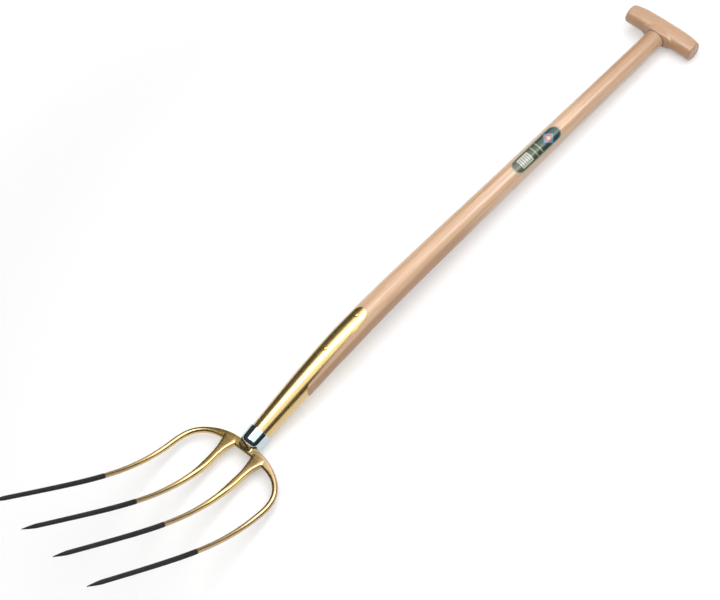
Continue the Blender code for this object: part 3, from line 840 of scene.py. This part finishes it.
def rivet_material():
    """Lacquered rivet heads, a shade darker than the straps."""
    material, tree = new_material("rivet_steel")
    coat = use_group(tree, COAT_MOTTLE, {"Place": attribute(tree, "drawn"), "Size": 0.003})
    add_shader(tree, {
        "Base Color": blend_colour(tree, coat["Patch"], GOLD_DEEP, GOLD),
        "Metallic": LACQUER_METAL,
        "Roughness": 0.24,
    })
    return material


LABEL_GREEN = (0.012, 0.045, 0.034)
LABEL_OLIVE = (0.075, 0.085, 0.040)
LABEL_CREAM = (0.52, 0.52, 0.44)
LABEL_BLUE = (0.08, 0.24, 0.42)
LABEL_RED = (0.55, 0.13, 0.07)
LABEL_GOLD = (0.36, 0.34, 0.12)
LABEL_GREY = (0.13, 0.15, 0.11)

# The label's print, in millimetres from its middle
PRINT_SPINE = MILLIMETRES * (LABEL_LENGTH - LABEL_WIDTH) / 2
PRINT_FADE = (-10.0, 45.0)
BORDER_INSIDE = 11.0
LINE_INSIDE = 9.9
LINE_OUTSIDE = 10.5
DIAMONDS_ALONG = -26.0
DIAMONDS = ((10.6, LABEL_BLUE), (7.6, LABEL_RED), (3.8, LABEL_CREAM))
STRIPES_ALONG = 5.0
STRIPE_HALF = 1.1
STRIPE_REACH = 9.4
PANEL_ALONG = 25.0
PANEL_HALF = 11.4
PANEL_REACH = 8.0
BAR_TURN = 1.55
BAR_REACH = 6.2


def printed_field(tree, along, radius):
    """Green field that turns olive, inside a fine line and a pale border."""
    colour = blend_colour(tree, ramp(tree, along, *PRINT_FADE), LABEL_GREEN, LABEL_OLIVE)
    border = ramp(tree, radius, BORDER_INSIDE, BORDER_INSIDE + 0.4)
    colour = blend_colour(tree, border, colour, LABEL_CREAM)
    beyond = ramp(tree, radius, LINE_INSIDE, LINE_INSIDE + 0.2)
    line = product(tree, beyond, within(tree, radius, LINE_OUTSIDE, 0.2))
    return blend_colour(tree, line, colour, LABEL_CREAM)


def printed_diamonds(tree, along, wide, colour):
    """Nested diamonds in the upper half."""
    apart = maths(tree, "ABSOLUTE", maths(tree, "SUBTRACT", along, DIAMONDS_ALONG))
    reach = maths(tree, "ADD", apart, wide)
    for size, paint in DIAMONDS:
        colour = blend_colour(tree, within(tree, reach, size, 0.4), colour, paint)
    return colour


def printed_stripes(tree, along, wide, colour):
    """Two thin stripes across the middle."""
    apart = maths(tree, "SUBTRACT", maths(tree, "ABSOLUTE", along), STRIPES_ALONG)
    stripe = within(tree, maths(tree, "ABSOLUTE", apart), STRIPE_HALF, 0.3)
    stripe = product(tree, stripe, within(tree, wide, STRIPE_REACH, 0.2))
    return blend_colour(tree, stripe, colour, LABEL_GOLD)


def printed_panel(tree, along, wide, colour):
    """Cream panel low on the label, ruled with plain bars."""
    apart = maths(tree, "ABSOLUTE", maths(tree, "SUBTRACT", along, PANEL_ALONG))
    panel = within(tree, apart, PANEL_HALF, 0.4)
    panel = product(tree, panel, within(tree, wide, PANEL_REACH, 0.3))
    wave = maths(tree, "SINE", product(tree, along, BAR_TURN))
    bars = product(tree, ramp(tree, wave, 0.35, 0.7), within(tree, wide, BAR_REACH, 0.4))
    colour = blend_colour(tree, panel, colour, LABEL_CREAM)
    return blend_colour(tree, product(tree, panel, bars), colour, LABEL_GREY)


def label_material():
    """Printed foil of a made-up design."""
    material, tree = new_material("label_foil")
    uv = add_node(tree, "ShaderNodeUVMap", uv_map="print").outputs[0]
    across, along, _ = split(tree, uv)
    wide = maths(tree, "ABSOLUTE", across)
    past_spine = maths(tree, "SUBTRACT", maths(tree, "ABSOLUTE", along), PRINT_SPINE)
    past_spine = maths(tree, "MAXIMUM", past_spine, 0.0)
    squared = product(tree, past_spine, past_spine)
    squared = maths(tree, "MULTIPLY_ADD", across, across, squared)
    colour = printed_field(tree, along, maths(tree, "SQRT", squared))
    colour = printed_diamonds(tree, along, wide, colour)
    colour = printed_stripes(tree, along, wide, colour)
    colour = printed_panel(tree, along, wide, colour)
    add_shader(tree, {
        "Base Color": colour,
        "Roughness": 0.30,
        "Coat Weight": 0.5,
        "Coat Roughness": 0.15,
    })
    return material


# Geometry node trees

def new_node_tree(name, inputs):
    """A geometry node tree with a geometry in and out and (name, type, default) inputs."""
    outline = ("Geometry", "Geometry", None)
    return new_group("GeometryNodeTree", name, [outline, *inputs], [outline[:2]])


def finish_tree(tree, geometry, material, outside):
    """Ends a tree in Realize Instances and Set Material."""
    real = add_node(tree, "GeometryNodeRealizeInstances", {"Geometry": geometry}).outputs[0]
    paint = add_node(tree, "GeometryNodeSetMaterial", {"Geometry": real, "Material": material})
    feed(tree, outside["Geometry"], paint.outputs[0])


def swept_rod_tree():
    """A round rod along a curve, as thick at each point as the curve's radius."""
    needs = [("Sides", "Int", 32), ("Material", "Material", None)]
    tree, inside, outside = new_node_tree("swept rod", needs)
    circle = {"Resolution": inside["Sides"], "Radius": 1.0}
    sweep = add_node(tree, "GeometryNodeCurveToMesh", {
        "Curve": inside["Geometry"],
        "Profile Curve": add_node(tree, "GeometryNodeCurvePrimitiveCircle", circle).outputs["Curve"],
        "Scale": add_node(tree, "GeometryNodeInputRadius").outputs[0],
        "Fill Caps": True,
    })
    finish_tree(tree, sweep.outputs["Mesh"], inside["Material"], outside)
    return tree


def pin_nodes(tree, inside):
    """A round pin along the edge given."""
    path = add_node(tree, "GeometryNodeMeshToCurve", {"Mesh": inside["Geometry"]})
    circle = {"Resolution": PIN_SIDES, "Radius": inside["Pin radius"]}
    pin = add_node(tree, "GeometryNodeCurveToMesh", {
        "Curve": path.outputs[0],
        "Profile Curve": add_node(tree, "GeometryNodeCurvePrimitiveCircle", circle).outputs["Curve"],
        "Fill Caps": True,
    })
    return pin.outputs["Mesh"]


def head_nodes(tree, inside):
    """A flattened ball at each end of the edge given, square to it."""
    ball = {"Segments": RIVET_HEAD_SIDES, "Rings": RIVET_HEAD_SIDES // 2, "Radius": 1.0}
    wide, high = inside["Head radius"], inside["Head height"]
    facing = add_node(tree, "GeometryNodeInputNamedAttribute", data_type="FLOAT_VECTOR")
    feed(tree, facing.inputs["Name"], "facing")
    aim = add_node(tree, "FunctionNodeAlignRotationToVector", {"Vector": facing.outputs[0]}, axis="Z")
    heads = add_node(tree, "GeometryNodeInstanceOnPoints", {
        "Points": inside["Geometry"],
        "Instance": add_node(tree, "GeometryNodeMeshUVSphere", ball).outputs["Mesh"],
        "Rotation": aim.outputs[0],
        "Scale": joined(tree, wide, wide, high),
    })
    return heads.outputs[0]


def rivet_tree():
    """A pin along the edge given, with a domed head at each end."""
    needs = [
        ("Pin radius", "Float", RIVET_R),
        ("Head radius", "Float", RIVET_HEAD_R),
        ("Head height", "Float", RIVET_HEAD_H),
        ("Material", "Material", None),
    ]
    tree, inside, outside = new_node_tree("domed rivet", needs)
    both = add_node(tree, "GeometryNodeJoinGeometry")
    feed(tree, both.inputs[0], pin_nodes(tree, inside))
    feed(tree, both.inputs[0], head_nodes(tree, inside))
    finish_tree(tree, both.outputs[0], inside["Material"], outside)
    return tree


def grow(piece, tree, **values):
    """Runs a node tree on the piece and leaves its result as the piece's plain mesh."""
    modifier = piece.modifiers.new(tree.name, "NODES")
    modifier.node_group = tree
    for name, value in values.items():
        socket = next(item for item in tree.interface.items_tree if item.name == name.capitalize())
        modifier[socket.identifier] = value
    mesh = finished_mesh(piece)
    name = piece.name
    bpy.data.objects.remove(piece)
    mesh.shade_smooth()
    return add_object(name, mesh)


# Shaft

def shaft_stations():
    """(distance, radius) of the rod, with its shoulder rounded over."""
    shoulder = wood_radius(SHOULDER_S)
    stations = []
    for angle in np.linspace(0.0, math.pi / 2, SHOULDER_ROUND_STEPS + 1):
        s = SHOULDER_S + SHOULDER_ROUND * (1.0 - math.cos(angle))
        stations.append((s, shoulder - SHOULDER_ROUND * (1.0 - math.sin(angle))))
    for s in (*np.linspace(*BARE_SHAFT, BARE_RINGS), *np.linspace(*STRAPPED_SHAFT, STRAPPED_RINGS)):
        stations.append((s, wood_radius(s)))
    for s in np.linspace(*COVERED_SHAFT, COVERED_RINGS):
        stations.append((s, wood_radius(s) - COVERED_THINNER))
    return stations


def round_shape(radius, start, end):
    """A plain round rod along the tool's axis."""
    def place(row, turn):
        return laid((start, end)[row], *oval_point(turn, radius, radius))

    return lofted_shape(2, ROUND_SIDES, place)


def strap_edge(turn):
    """Distance at which the socket's sheet begins, at an angle from the middle of a strap."""
    base = STRAP_TIP_S + STRAP_ROUND
    half = math.sqrt(socket_radius(base) ** 2 - WINDOW_HALF**2)
    across = socket_radius(base) * math.sin(min(turn, math.pi / 2))
    if turn < math.pi / 4 and across < half:
        return base - STRAP_ROUND * math.sqrt(1.0 - (across / half) ** 2)
    low, high = base, WINDOW_ROUND_S + WINDOW_ROUND
    for _ in range(STRAP_HALVINGS):
        s = (low + high) / 2
        inside = window_half(s) > socket_radius(s) * math.cos(turn)
        low, high = (s, high) if inside else (low, s)
    return low


def window_half(s):
    """Half height of the gap between the straps, seen from the side."""
    if s < WINDOW_TAPER_S:
        return WINDOW_HALF
    if s < WINDOW_ROUND_S:
        along = (s - WINDOW_TAPER_S) / (WINDOW_ROUND_S - WINDOW_TAPER_S)
        return WINDOW_HALF + (WINDOW_ROUND - WINDOW_HALF) * along**WINDOW_EASE
    beyond = min(s - WINDOW_ROUND_S, WINDOW_ROUND)
    return math.sqrt(max(WINDOW_ROUND**2 - beyond**2, 0.0))


def strap_outline():
    """Points (s, arc) of the edge of one quarter of the sheet, for measuring the gap to it."""
    turns = np.linspace(0.0, math.pi / 2, STRAP_OUTLINE_POINTS)
    return np.array([(strap_edge(turn), wood_radius(strap_edge(turn)) * turn) for turn in turns])


def mark_strap_gap(piece):
    """Stores each vertex's distance from the sheet's edge, over the wood."""
    count = len(piece.data.vertices)
    drawn = np.empty(count * 3)
    piece.data.attributes["drawn"].data.foreach_get("vector", drawn)
    drawn = drawn.reshape(-1, 3)
    gap = np.full(count, 1.0)
    near = np.nonzero(drawn[:, 0] > STRAP_TIP_S - STRAP_SEAM_REACH)[0]
    turn = np.abs(np.arctan2(drawn[near, 1], drawn[near, 2]))
    turn = np.minimum(turn, math.pi - turn)
    arc = turn * np.hypot(drawn[near, 1], drawn[near, 2])
    outline = strap_outline()
    for first in range(0, len(near), BLOCK):
        part = slice(first, first + BLOCK)
        ds = drawn[near[part], 0][:, None] - outline[:, 0]
        da = arc[part][:, None] - outline[:, 1]
        gap[near[part]] = np.sqrt(ds**2 + da**2).min(axis=1)
    stored = piece.data.attributes.new("strap_gap", "FLOAT", "POINT")
    stored.data.foreach_set("value", gap)


def above_grip():
    """The space over the crosspiece, for trimming the tenon flush."""
    def place(x, y, z):
        return LIE @ Vector((TRIM_CENTRE_S + TRIM_DEPTH * x, TRIM_WIDTH * y, TRIM_WIDTH * z))

    space = add_piece("above", box_shape(place), None)
    return cut(space, add_piece("envelope", crosspiece_shape(TRIM_RINGS), None))


def make_shaft(material):
    """The bent rod, with its tenon cut flush and kerfed for the wedge."""
    stations = shaft_stations()
    line = bpy.data.curves.new("shaft", "CURVE")
    line.dimensions = "3D"
    spline = line.splines.new("POLY")
    spline.points.add(len(stations) - 1)
    for point, (s, radius) in zip(spline.points, stations):
        point.co = (*laid(s, 0.0, 0.0), 1.0)
        point.radius = radius
    shaft = grow(add_object("shaft_wood", line), swept_rod_tree(), sides=SHAFT_SIDES, material=material)
    tenon = add_piece("tenon", round_shape(TENON_R, TENON_TOP_S, SHOULDER_S + TENON_SINK), material)
    cut(tenon, above_grip())
    cut(tenon, add_piece("kerf", wedge_shape(GAP), None))
    cut(shaft, tenon, "UNION")
    shade(shaft, sharp=35)
    keep(shaft, "shaft")
    mark_strap_gap(shaft)


# Grip

def grip_turned(point):
    """A point of the grip's own drawing, turned about the shaft and laid in the frame."""
    return LIE @ (Matrix.Rotation(GRIP_TURN, 4, "X") @ point)


def grip_section(y):
    """Centre, half height and half depth of the crosspiece at y, with its ends rounded over."""
    middle = 1.0 - (y / GRIP_HALF) ** 4
    half_x = GRIP_END_X + GRIP_SWELL_X * middle
    half_z = GRIP_END_Z + GRIP_SWELL_Z * middle
    inset = max(abs(y) - (GRIP_HALF - GRIP_ROUND), 0.0) / GRIP_ROUND
    lost = GRIP_ROUND_IN * (1.0 - math.sqrt(max(1.0 - inset * inset, 0.0)))
    return -GRIP_ARCH * middle, half_x - lost, half_z - lost


def crosspiece_shape(rings):
    """The bar of the grip, as an oval rod with rounded ends."""
    turns = np.linspace(0.0, math.pi / 2, GRIP_END_STEPS + 1)
    ends = [GRIP_HALF - GRIP_ROUND * (1.0 - math.sin(turn)) for turn in turns]
    stations = [-y for y in reversed(ends)] + list(np.linspace(-ends[0], ends[0], rings)[1:-1]) + ends

    def place(row, turn):
        centre, half_x, half_z = grip_section(stations[row])
        across, up = oval_point(turn, half_x, half_z)
        return grip_turned(Vector((GRIP_S + centre + across, GRIP_Y + stations[row], up)))

    return lofted_shape(len(stations), GRIP_SIDES, place)


def add_boss(shape):
    """The swelling that takes the shaft."""
    stations = [0.0] + list(np.linspace(BOSS_END_S - BOSS_FILLET, BOSS_END_S, BOSS_RINGS))

    def place(row, turn):
        s = stations[row]
        rise = min((BOSS_END_S - s) / BOSS_FILLET, 1.0)
        flare = BOSS_FLARE * rise**BOSS_EASE
        across, up = oval_point(turn, BOSS_R + flare, BOSS_R - BOSS_THIN * rise)
        return grip_turned(Vector((s, across, up)))

    return lofted_shape(len(stations), GRIP_SIDES, place, shape)


def wedge_shape(margin):
    """The wedge, larger by margin all round for its kerf."""
    def place(x, y, z):
        thick = WEDGE_THICK if x < 0.0 else WEDGE_THIN
        s = WEDGE_TOP_S if x < 0.0 else WEDGE_TIP_S + margin
        return grip_turned(Vector((s, y * (thick + 2.0 * margin), 2.0 * z * (WEDGE_HALF_Z + margin))))

    return box_shape(place)


def make_grip(material):
    """Crosspiece and boss in one piece of wood, with a round mortise."""
    grip = add_piece("grip_wood", add_boss(crosspiece_shape(GRIP_RINGS)), material)
    remelt(grip, GRIP_VOXEL, GRIP_PASSES)
    mortise = round_shape(TENON_HOLE_R, -MORTISE_HALF, MORTISE_HALF)
    cut(grip, add_piece("mortise", mortise, None))
    shade(grip, sharp=50)
    keep(grip, "grip")


def make_wedge(material):
    """The wedge, trimmed flush with the grip."""
    wedge = add_piece("wedge_in_tenon", wedge_shape(0.0), material)
    cut(wedge, above_grip())
    wedge.data.shade_flat()
    keep(wedge, "tenon_wedge")


# Socket, ring and rivets

def socket_turns():
    """Angles of the sheet's columns over one quarter, closest where the strap's edge is steep."""
    steep = math.asin(math.sqrt(1.0 - (WINDOW_HALF / socket_radius(STRAP_TIP_S + STRAP_ROUND)) ** 2))
    flat = np.linspace(0.0, steep, STRAP_COLUMNS)[:-1]
    edge = np.linspace(steep, SHEET_SIDE_TURN, STRAP_EDGE_COLUMNS)[:-1]
    side = np.linspace(SHEET_SIDE_TURN, math.pi / 2, SHEET_SIDE_COLUMNS)
    return np.concatenate([flat, edge, side])


def make_socket(material):
    """The sheet with its two straps, given a wall and rounded edges."""
    quarter = list(socket_turns())
    half = quarter + [math.pi - turn for turn in reversed(quarter[:-1])]
    turns = half + [2 * math.pi - turn for turn in reversed(half[1:-1])]
    starts = [strap_edge(min(turn % math.pi, math.pi - turn % math.pi)) for turn in turns]
    shape = bmesh.new()
    rings = []
    for row in range(SHEET_ROWS + 1):
        along = (row / SHEET_ROWS) ** SHEET_ROWS_EASE
        ring = []
        for turn, start in zip(turns, starts):
            s = start + (SOCKET_END_S - start) * along
            ring.append(shape.verts.new(turned_point(turn, s, socket_radius(s))))
        rings.append(ring)
    join_rings(shape, rings)
    socket = add_piece("socket_sheet", shape, material)
    modify(socket, "SOLIDIFY", thickness=SHEET, offset=-1.0)
    modify(socket, "BEVEL", width=SHEET_ROUND, segments=3, limit_method="ANGLE", angle_limit=SHEET_EDGE)
    socket.data.shade_smooth()
    keep(socket, "socket")


def ring_nose(margin):
    """Points (distance, radius) along the ring's rounded nose, from its side to its hole."""
    hole_r = RING_HOLE_R - margin
    side_r = ring_radius(RING_NOSE_S) + margin
    nose = []
    for angle in np.linspace(0.0, math.pi / 2, RING_NOSE_STEPS + 1):
        s = RING_NOSE_S + (RING_END_S + margin - RING_NOSE_S) * math.sin(angle)
        nose.append((s, hole_r + (side_r - hole_r) * math.cos(angle)))
    return nose


def ring_section():
    """Points (distance, radius) round the ring's section: rim, side, nose, hole and seat."""
    half = RING_WALL / 2
    rim = []
    for angle in np.linspace(0.0, math.pi, RING_RIM_STEPS + 1):
        s = RING_TOP_S + half - half * math.sin(angle)
        rim.append((s, ring_radius(s) - half - half * math.cos(angle)))
    below_rim = np.linspace(RING_TOP_S + RING_WALL, RING_NOSE_S, RING_SIDE_STEPS + 1)[:-1]
    side = [(s, ring_radius(s)) for s in below_rim]
    seat = [(RING_SEAT_S, RING_HOLE_R), (RING_SEAT_S, socket_radius(RING_SEAT_S) + GAP)]
    return rim + side + ring_nose(0.0) + seat


def turned_shape(section):
    """A closed section of (distance, radius) points turned about the tool's axis."""
    shape = bmesh.new()
    turns = [2 * math.pi * side / RING_SIDES for side in range(RING_SIDES)]
    rings = []
    for s, radius in section:
        rings.append([shape.verts.new(turned_point(turn, s, radius)) for turn in turns])
    join_rings(shape, rings + rings[:1])
    return shape


def make_ring(material):
    """The ring, a turned cup with its nose towards the crossbar."""
    ring = add_piece("ring_at_neck", turned_shape(ring_section()), material)
    shade(ring, sharp=50)
    keep(ring, "neck_ring")


def make_rivets(material):
    """Each rivet grows on one edge from the front strap to the rear one."""
    tree = rivet_tree()
    for node, s in RIVET_S.items():
        seat = socket_radius(s) + GAP
        ends = [laid(s, 0.0, seat), laid(s, 0.0, -seat)]
        mesh = bpy.data.meshes.new(node)
        mesh.from_pydata(ends, [(0, 1)], [])
        facing = mesh.attributes.new("facing", "FLOAT_VECTOR", "POINT")
        out = (ends[0] - ends[1]).normalized()
        facing.data.foreach_set("vector", [*out, *(-out)])
        rivet = grow(add_object(node + "_pin", mesh), tree, material=material)
        keep(rivet, node)


# Head

def tine_radius(s, thick):
    """Radius of a tine at s: stout near the crossbar, slender below and pointed at its end."""
    slim = TINE_SLIM_R + (TINE_LOW_R - TINE_SLIM_R) * smooth(s, TINE_SLIM_S, TINE_LOW_S)
    radius = thick + (slim - thick) * smooth(s, TINE_STOUT_S, TINE_SLIM_S)
    along = max(s - POINT_S, 0.0) / (TOOL_LENGTH - POINT_S)
    return radius + (TINE_TIP_R - radius) * along**POINT_EASE


def tine_stations(start):
    """Distances of a tine's rings, from its start to its point."""
    count = round((POINT_S - start) / HEAD_STEP)
    shank = list(np.linspace(start, POINT_S, count + 1))
    return shank + list(np.linspace(POINT_S, TOOL_LENGTH, TINE_POINT_STEPS + 1)[1:])


def shoulder_path():
    """Centre line (s, y) of the crossbar's half and its outer tine, evenly stepped."""
    drop = SHOULDER_END_S - BAR_S
    fine = []
    for step in range(SHOULDER_STEPS + 1):
        angle = math.pi / 2 * (step / SHOULDER_STEPS) ** SHOULDER_STEP_EASE
        y = SHOULDER_Y * math.sin(angle) ** (2.0 / SHOULDER_POWER_Y)
        s = SHOULDER_END_S - drop * max(math.cos(angle), 0.0) ** (2.0 / SHOULDER_POWER_S)
        fine.append((s, y))
    fine = np.array(fine)
    lengths = np.concatenate([[0.0], np.cumsum(np.hypot(*np.diff(fine, axis=0).T))])
    marks = np.linspace(0.0, lengths[-1], round(lengths[-1] / HEAD_STEP) + 1)
    path = [(np.interp(m, lengths, fine[:, 0]), np.interp(m, lengths, fine[:, 1])) for m in marks]
    for s in tine_stations(SHOULDER_END_S)[1:]:
        along = (s - SHOULDER_END_S) / (TOOL_LENGTH - SHOULDER_END_S)
        path.append((s, SHOULDER_Y + (OUTER_TIP_Y - SHOULDER_Y) * along))
    return path


def arch_section(s, y):
    """Half width, half thickness and squareness of the crossbar and outer tines."""
    turned = smooth(abs(y), BAR_FLAT_Y, BAR_ROUND_Y)
    radius = tine_radius(s, SHOULDER_R)
    half_width = BAR_HALF_WIDTH + (radius - BAR_HALF_WIDTH) * turned
    half_thick = BAR_HALF_THICK + (radius - BAR_HALF_THICK) * turned
    return half_width, half_thick, BAR_SQUARENESS + (ROUND - BAR_SQUARENESS) * turned


def add_arch(shape):
    """The crossbar and both outer tines in one sweep."""
    half = shoulder_path()
    path = [(s, -y) for s, y in reversed(half[1:])] + half
    rows = len(path)

    def place(row, turn):
        s, y = path[row]
        before = path[max(row - 1, 0)]
        after = path[min(row + 1, rows - 1)]
        along = math.hypot(after[0] - before[0], after[1] - before[1])
        normal = ((after[1] - before[1]) / along, -(after[0] - before[0]) / along)
        across, up = oval_point(turn, *arch_section(s, y))
        return laid(s + normal[0] * across, y + normal[1] * across, up)

    return lofted_shape(rows, HEAD_SIDES, place, shape)


def add_inner_tine(shape, side):
    """An inner tine, wide and squared where it leaves the crossbar."""
    root = list(np.linspace(ROOT_START_S, ROOT_END_S, ROOT_RINGS))
    stations = root[:-1] + tine_stations(ROOT_END_S)

    def place(row, turn):
        s = stations[row]
        y = INNER_ROOT_Y + (INNER_Y - INNER_ROOT_Y) * smooth(s, RING_END_S, SHOULDER_END_S)
        beyond = max(s - SHOULDER_END_S, 0.0) / (TOOL_LENGTH - SHOULDER_END_S)
        y += (INNER_TIP_Y - INNER_Y) * beyond
        radius = tine_radius(s, TINE_ROOT_R)
        flare = max(1.0 - (s - ROOT_START_S) / (ROOT_END_S - ROOT_START_S), 0.0) ** 2
        half_width = radius + (ROOT_HALF_WIDTH - radius) * flare
        power = ROOT_SQUARENESS + (ROUND - ROOT_SQUARENESS) * smooth(s, ROOT_END_S, ROOT_ROUND_S)
        rise = smooth(s, ROOT_START_S, ROOT_RISEN_S) - smooth(s, ROOT_RISEN_S, ROOT_LEVEL_S)
        across, up = oval_point(turn, half_width, radius, power)
        return laid(s, side * y + across, up + ROOT_RISE * rise)

    return lofted_shape(len(stations), HEAD_SIDES, place, shape)


def add_neck(shape):
    """The round neck inside the ring, flattened and spread as it sinks into the crossbar."""
    stations = [NECK_TOP_S, *np.linspace(NECK_START_S, NECK_SINK_S, NECK_RINGS)]

    def place(row, turn):
        s = stations[row]
        flat = smooth(s, NECK_START_S, NECK_SINK_S)
        wide = NECK_R + (NECK_SPREAD - NECK_R) * flat
        high = NECK_R + (NECK_SINK_HALF - NECK_R) * flat
        return laid(s, *oval_point(turn, wide, high))

    return lofted_shape(len(stations), NECK_SIDES, place, shape)


def make_head(material):
    """Crossbar, tines and neck melted into one forging, hollowed for the ring's nose."""
    shape = add_neck(add_arch(bmesh.new()))
    for side in (1.0, -1.0):
        add_inner_tine(shape, side)
    head = add_piece("forged_head", shape, material)
    remelt(head, HEAD_VOXEL, HEAD_PASSES)
    nose = ring_nose(GAP)
    room = [*nose, (RING_SEAT_S, nose[-1][1]), (RING_SEAT_S, nose[0][1])]
    cut(head, add_piece("ring_room", turned_shape(room), None))
    shade(head, sharp=60)
    keep(head, "fork_head")


# Label

def make_label(material):
    """A thin stadium-shaped foil wrapped round the front of the shaft, printed in millimetres."""
    columns, rows = 40, 80
    shape = bmesh.new()
    uv = shape.loops.layers.uv.new("print")
    grid = []
    prints = {}
    for column in range(columns + 1):
        across = -math.cos(math.pi * column / columns) * LABEL_WIDTH / 2
        cap = math.sqrt(max((LABEL_WIDTH / 2) ** 2 - across**2, 0.0))
        reach = (LABEL_LENGTH - LABEL_WIDTH) / 2 + cap
        line = []
        for row in range(rows + 1):
            along = reach * (2.0 * row / rows - 1.0)
            radius = wood_radius(LABEL_S + along) + LABEL_FOIL / 2
            angle = LABEL_ANGLE + across / radius
            vertex = shape.verts.new(turned_point(angle, LABEL_S + along, radius))
            prints[vertex] = (across * MILLIMETRES, along * MILLIMETRES)
            line.append(vertex)
        grid.append(line)
    for line, beside in zip(grid, grid[1:]):
        for row in range(rows):
            face = shape.faces.new((line[row], line[row + 1], beside[row + 1], beside[row]))
            for loop in face.loops:
                loop[uv].uv = prints[loop.vert]
    label = add_piece("printed_label", shape, material)
    modify(label, "SOLIDIFY", thickness=LABEL_FOIL, offset=1.0)
    keep(label, "label")


# Studio

def make_camera():
    """The photograph's own view of the fork."""
    right, down = Vector(CAMERA_RIGHT), Vector(CAMERA_DOWN)
    back = -right.cross(down)
    turn = Matrix((right, -down, back)).transposed().to_4x4()
    data = bpy.data.cameras.new("camera")
    data.sensor_fit = "HORIZONTAL"
    data.sensor_width = SENSOR_WIDTH
    data.lens = CAMERA_LENS
    data.clip_end = 50.0
    camera = add_object("camera", data)
    camera.matrix_world = LIE @ Matrix.Translation(CAMERA_PLACE) @ turn
    bpy.context.scene.camera = camera


def add_softbox(name, centre, size, turn, radiance, mirrored):
    """A rectangular lamp facing down that either lights the fork or is mirrored in its metal."""
    data = bpy.data.lights.new(name, "AREA")
    data.shape = "RECTANGLE"
    data.size, data.size_y = size
    data.energy = radiance * math.pi * size[0] * size[1]
    box = add_object(name, data)
    box.location = centre
    box.rotation_euler = (0.0, 0.0, turn)
    box.visible_diffuse = not mirrored
    box.visible_glossy = mirrored


def make_side_lamp():
    """A weak lamp low on the far left, which draws the shadow out to the near side."""
    data = bpy.data.lights.new("side lamp", "AREA")
    data.shape = "DISK"
    data.size = SIDE_LAMP_SIZE
    data.energy = SIDE_LAMP_POWER
    lamp = add_object("side lamp", data)
    lamp.location = SIDE_LAMP_PLACE
    lamp.rotation_euler = (-Vector(SIDE_LAMP_PLACE)).to_track_quat("-Z", "Y").to_euler()
    lamp.visible_glossy = False


def floor_material():
    """Pale matte ground, lifted to white where it is seen or mirrored."""
    material, tree = new_material("floor")
    place = add_node(tree, "ShaderNodeTexCoord").outputs["Object"]
    length = add_node(tree, "ShaderNodeVectorMath", {0: place}, operation="LENGTH").outputs["Value"]
    lift = ramp(tree, length, FLOOR_NEAR, FLOOR_FAR, FLOOR_LIFT, FLOOR_FAR_LIFT)
    path = add_node(tree, "ShaderNodeLightPath").outputs
    seen = maths(tree, "ADD", path["Is Camera Ray"], path["Is Glossy Ray"])
    seen = maths(tree, "ADD", seen, path["Is Transmission Ray"])
    glow = add_node(tree, "ShaderNodeEmission", {"Strength": product(tree, lift, seen)})
    matte = add_node(tree, "ShaderNodeBsdfDiffuse", {"Color": (FLOOR_COLOUR,) * 3})
    both = add_node(tree, "ShaderNodeAddShader", {0: matte.outputs[0], 1: glow.outputs[0]})
    add_surface(tree, both.outputs[0])
    return material


def make_floor():
    """The ground under the fork, which keeps its soft shadow."""
    shape = bmesh.new()
    bmesh.ops.create_grid(shape, x_segments=1, y_segments=1, size=FLOOR_SIZE / 2)
    for vertex in shape.verts:
        vertex.co.z = -FLOOR_DROP
    add_piece("floor", shape, floor_material())


def make_world():
    """A dim room with a soft glow low behind the grip, where the tines mirror it."""
    world = bpy.data.worlds.new("studio")
    bpy.context.scene.world = world
    world.use_nodes = True
    tree = world.node_tree
    tree.nodes.clear()
    direction = add_node(tree, "ShaderNodeTexCoord").outputs["Generated"]
    ways = {0: direction, 1: Vector(BACK_GLOW_WAY).normalized()}
    toward = add_node(tree, "ShaderNodeVectorMath", ways, operation="DOT_PRODUCT").outputs["Value"]
    glow = ramp(tree, toward, math.cos(BACK_GLOW_EDGE), math.cos(BACK_GLOW_FULL))
    room = ramp(tree, split(tree, direction)[2], 0.0, ROOM_HIGH_AT, ROOM_LOW, ROOM_HIGH)
    strength = maths(tree, "MULTIPLY_ADD", glow, BACK_GLOW, room)
    sky = add_node(tree, "ShaderNodeBackground", {"Strength": strength})
    add_node(tree, "ShaderNodeOutputWorld", {"Surface": sky.outputs[0]})


def main():
    """Camera, lamps and room first, then the nine pieces."""
    make_camera()
    add_softbox("key", KEY_CENTRE, KEY_SIZE, 0.0, KEY_RADIANCE, False)
    add_softbox("softbox", SOFTBOX_CENTRE, SOFTBOX_SIZE, 0.0, SOFTBOX_RADIANCE, True)
    add_softbox("softbox core", CORE_CENTRE, CORE_SIZE, CORE_TURN, CORE_RADIANCE, True)
    make_side_lamp()
    make_world()
    make_floor()
    make_shaft(ash_material())
    make_grip(grip_material())
    make_wedge(wedge_material())
    make_socket(socket_material())
    make_ring(ring_material())
    make_rivets(rivet_material())
    make_head(head_material())
    make_label(label_material())
    bpy.context.scene.view_settings.view_transform = "Standard"


main()
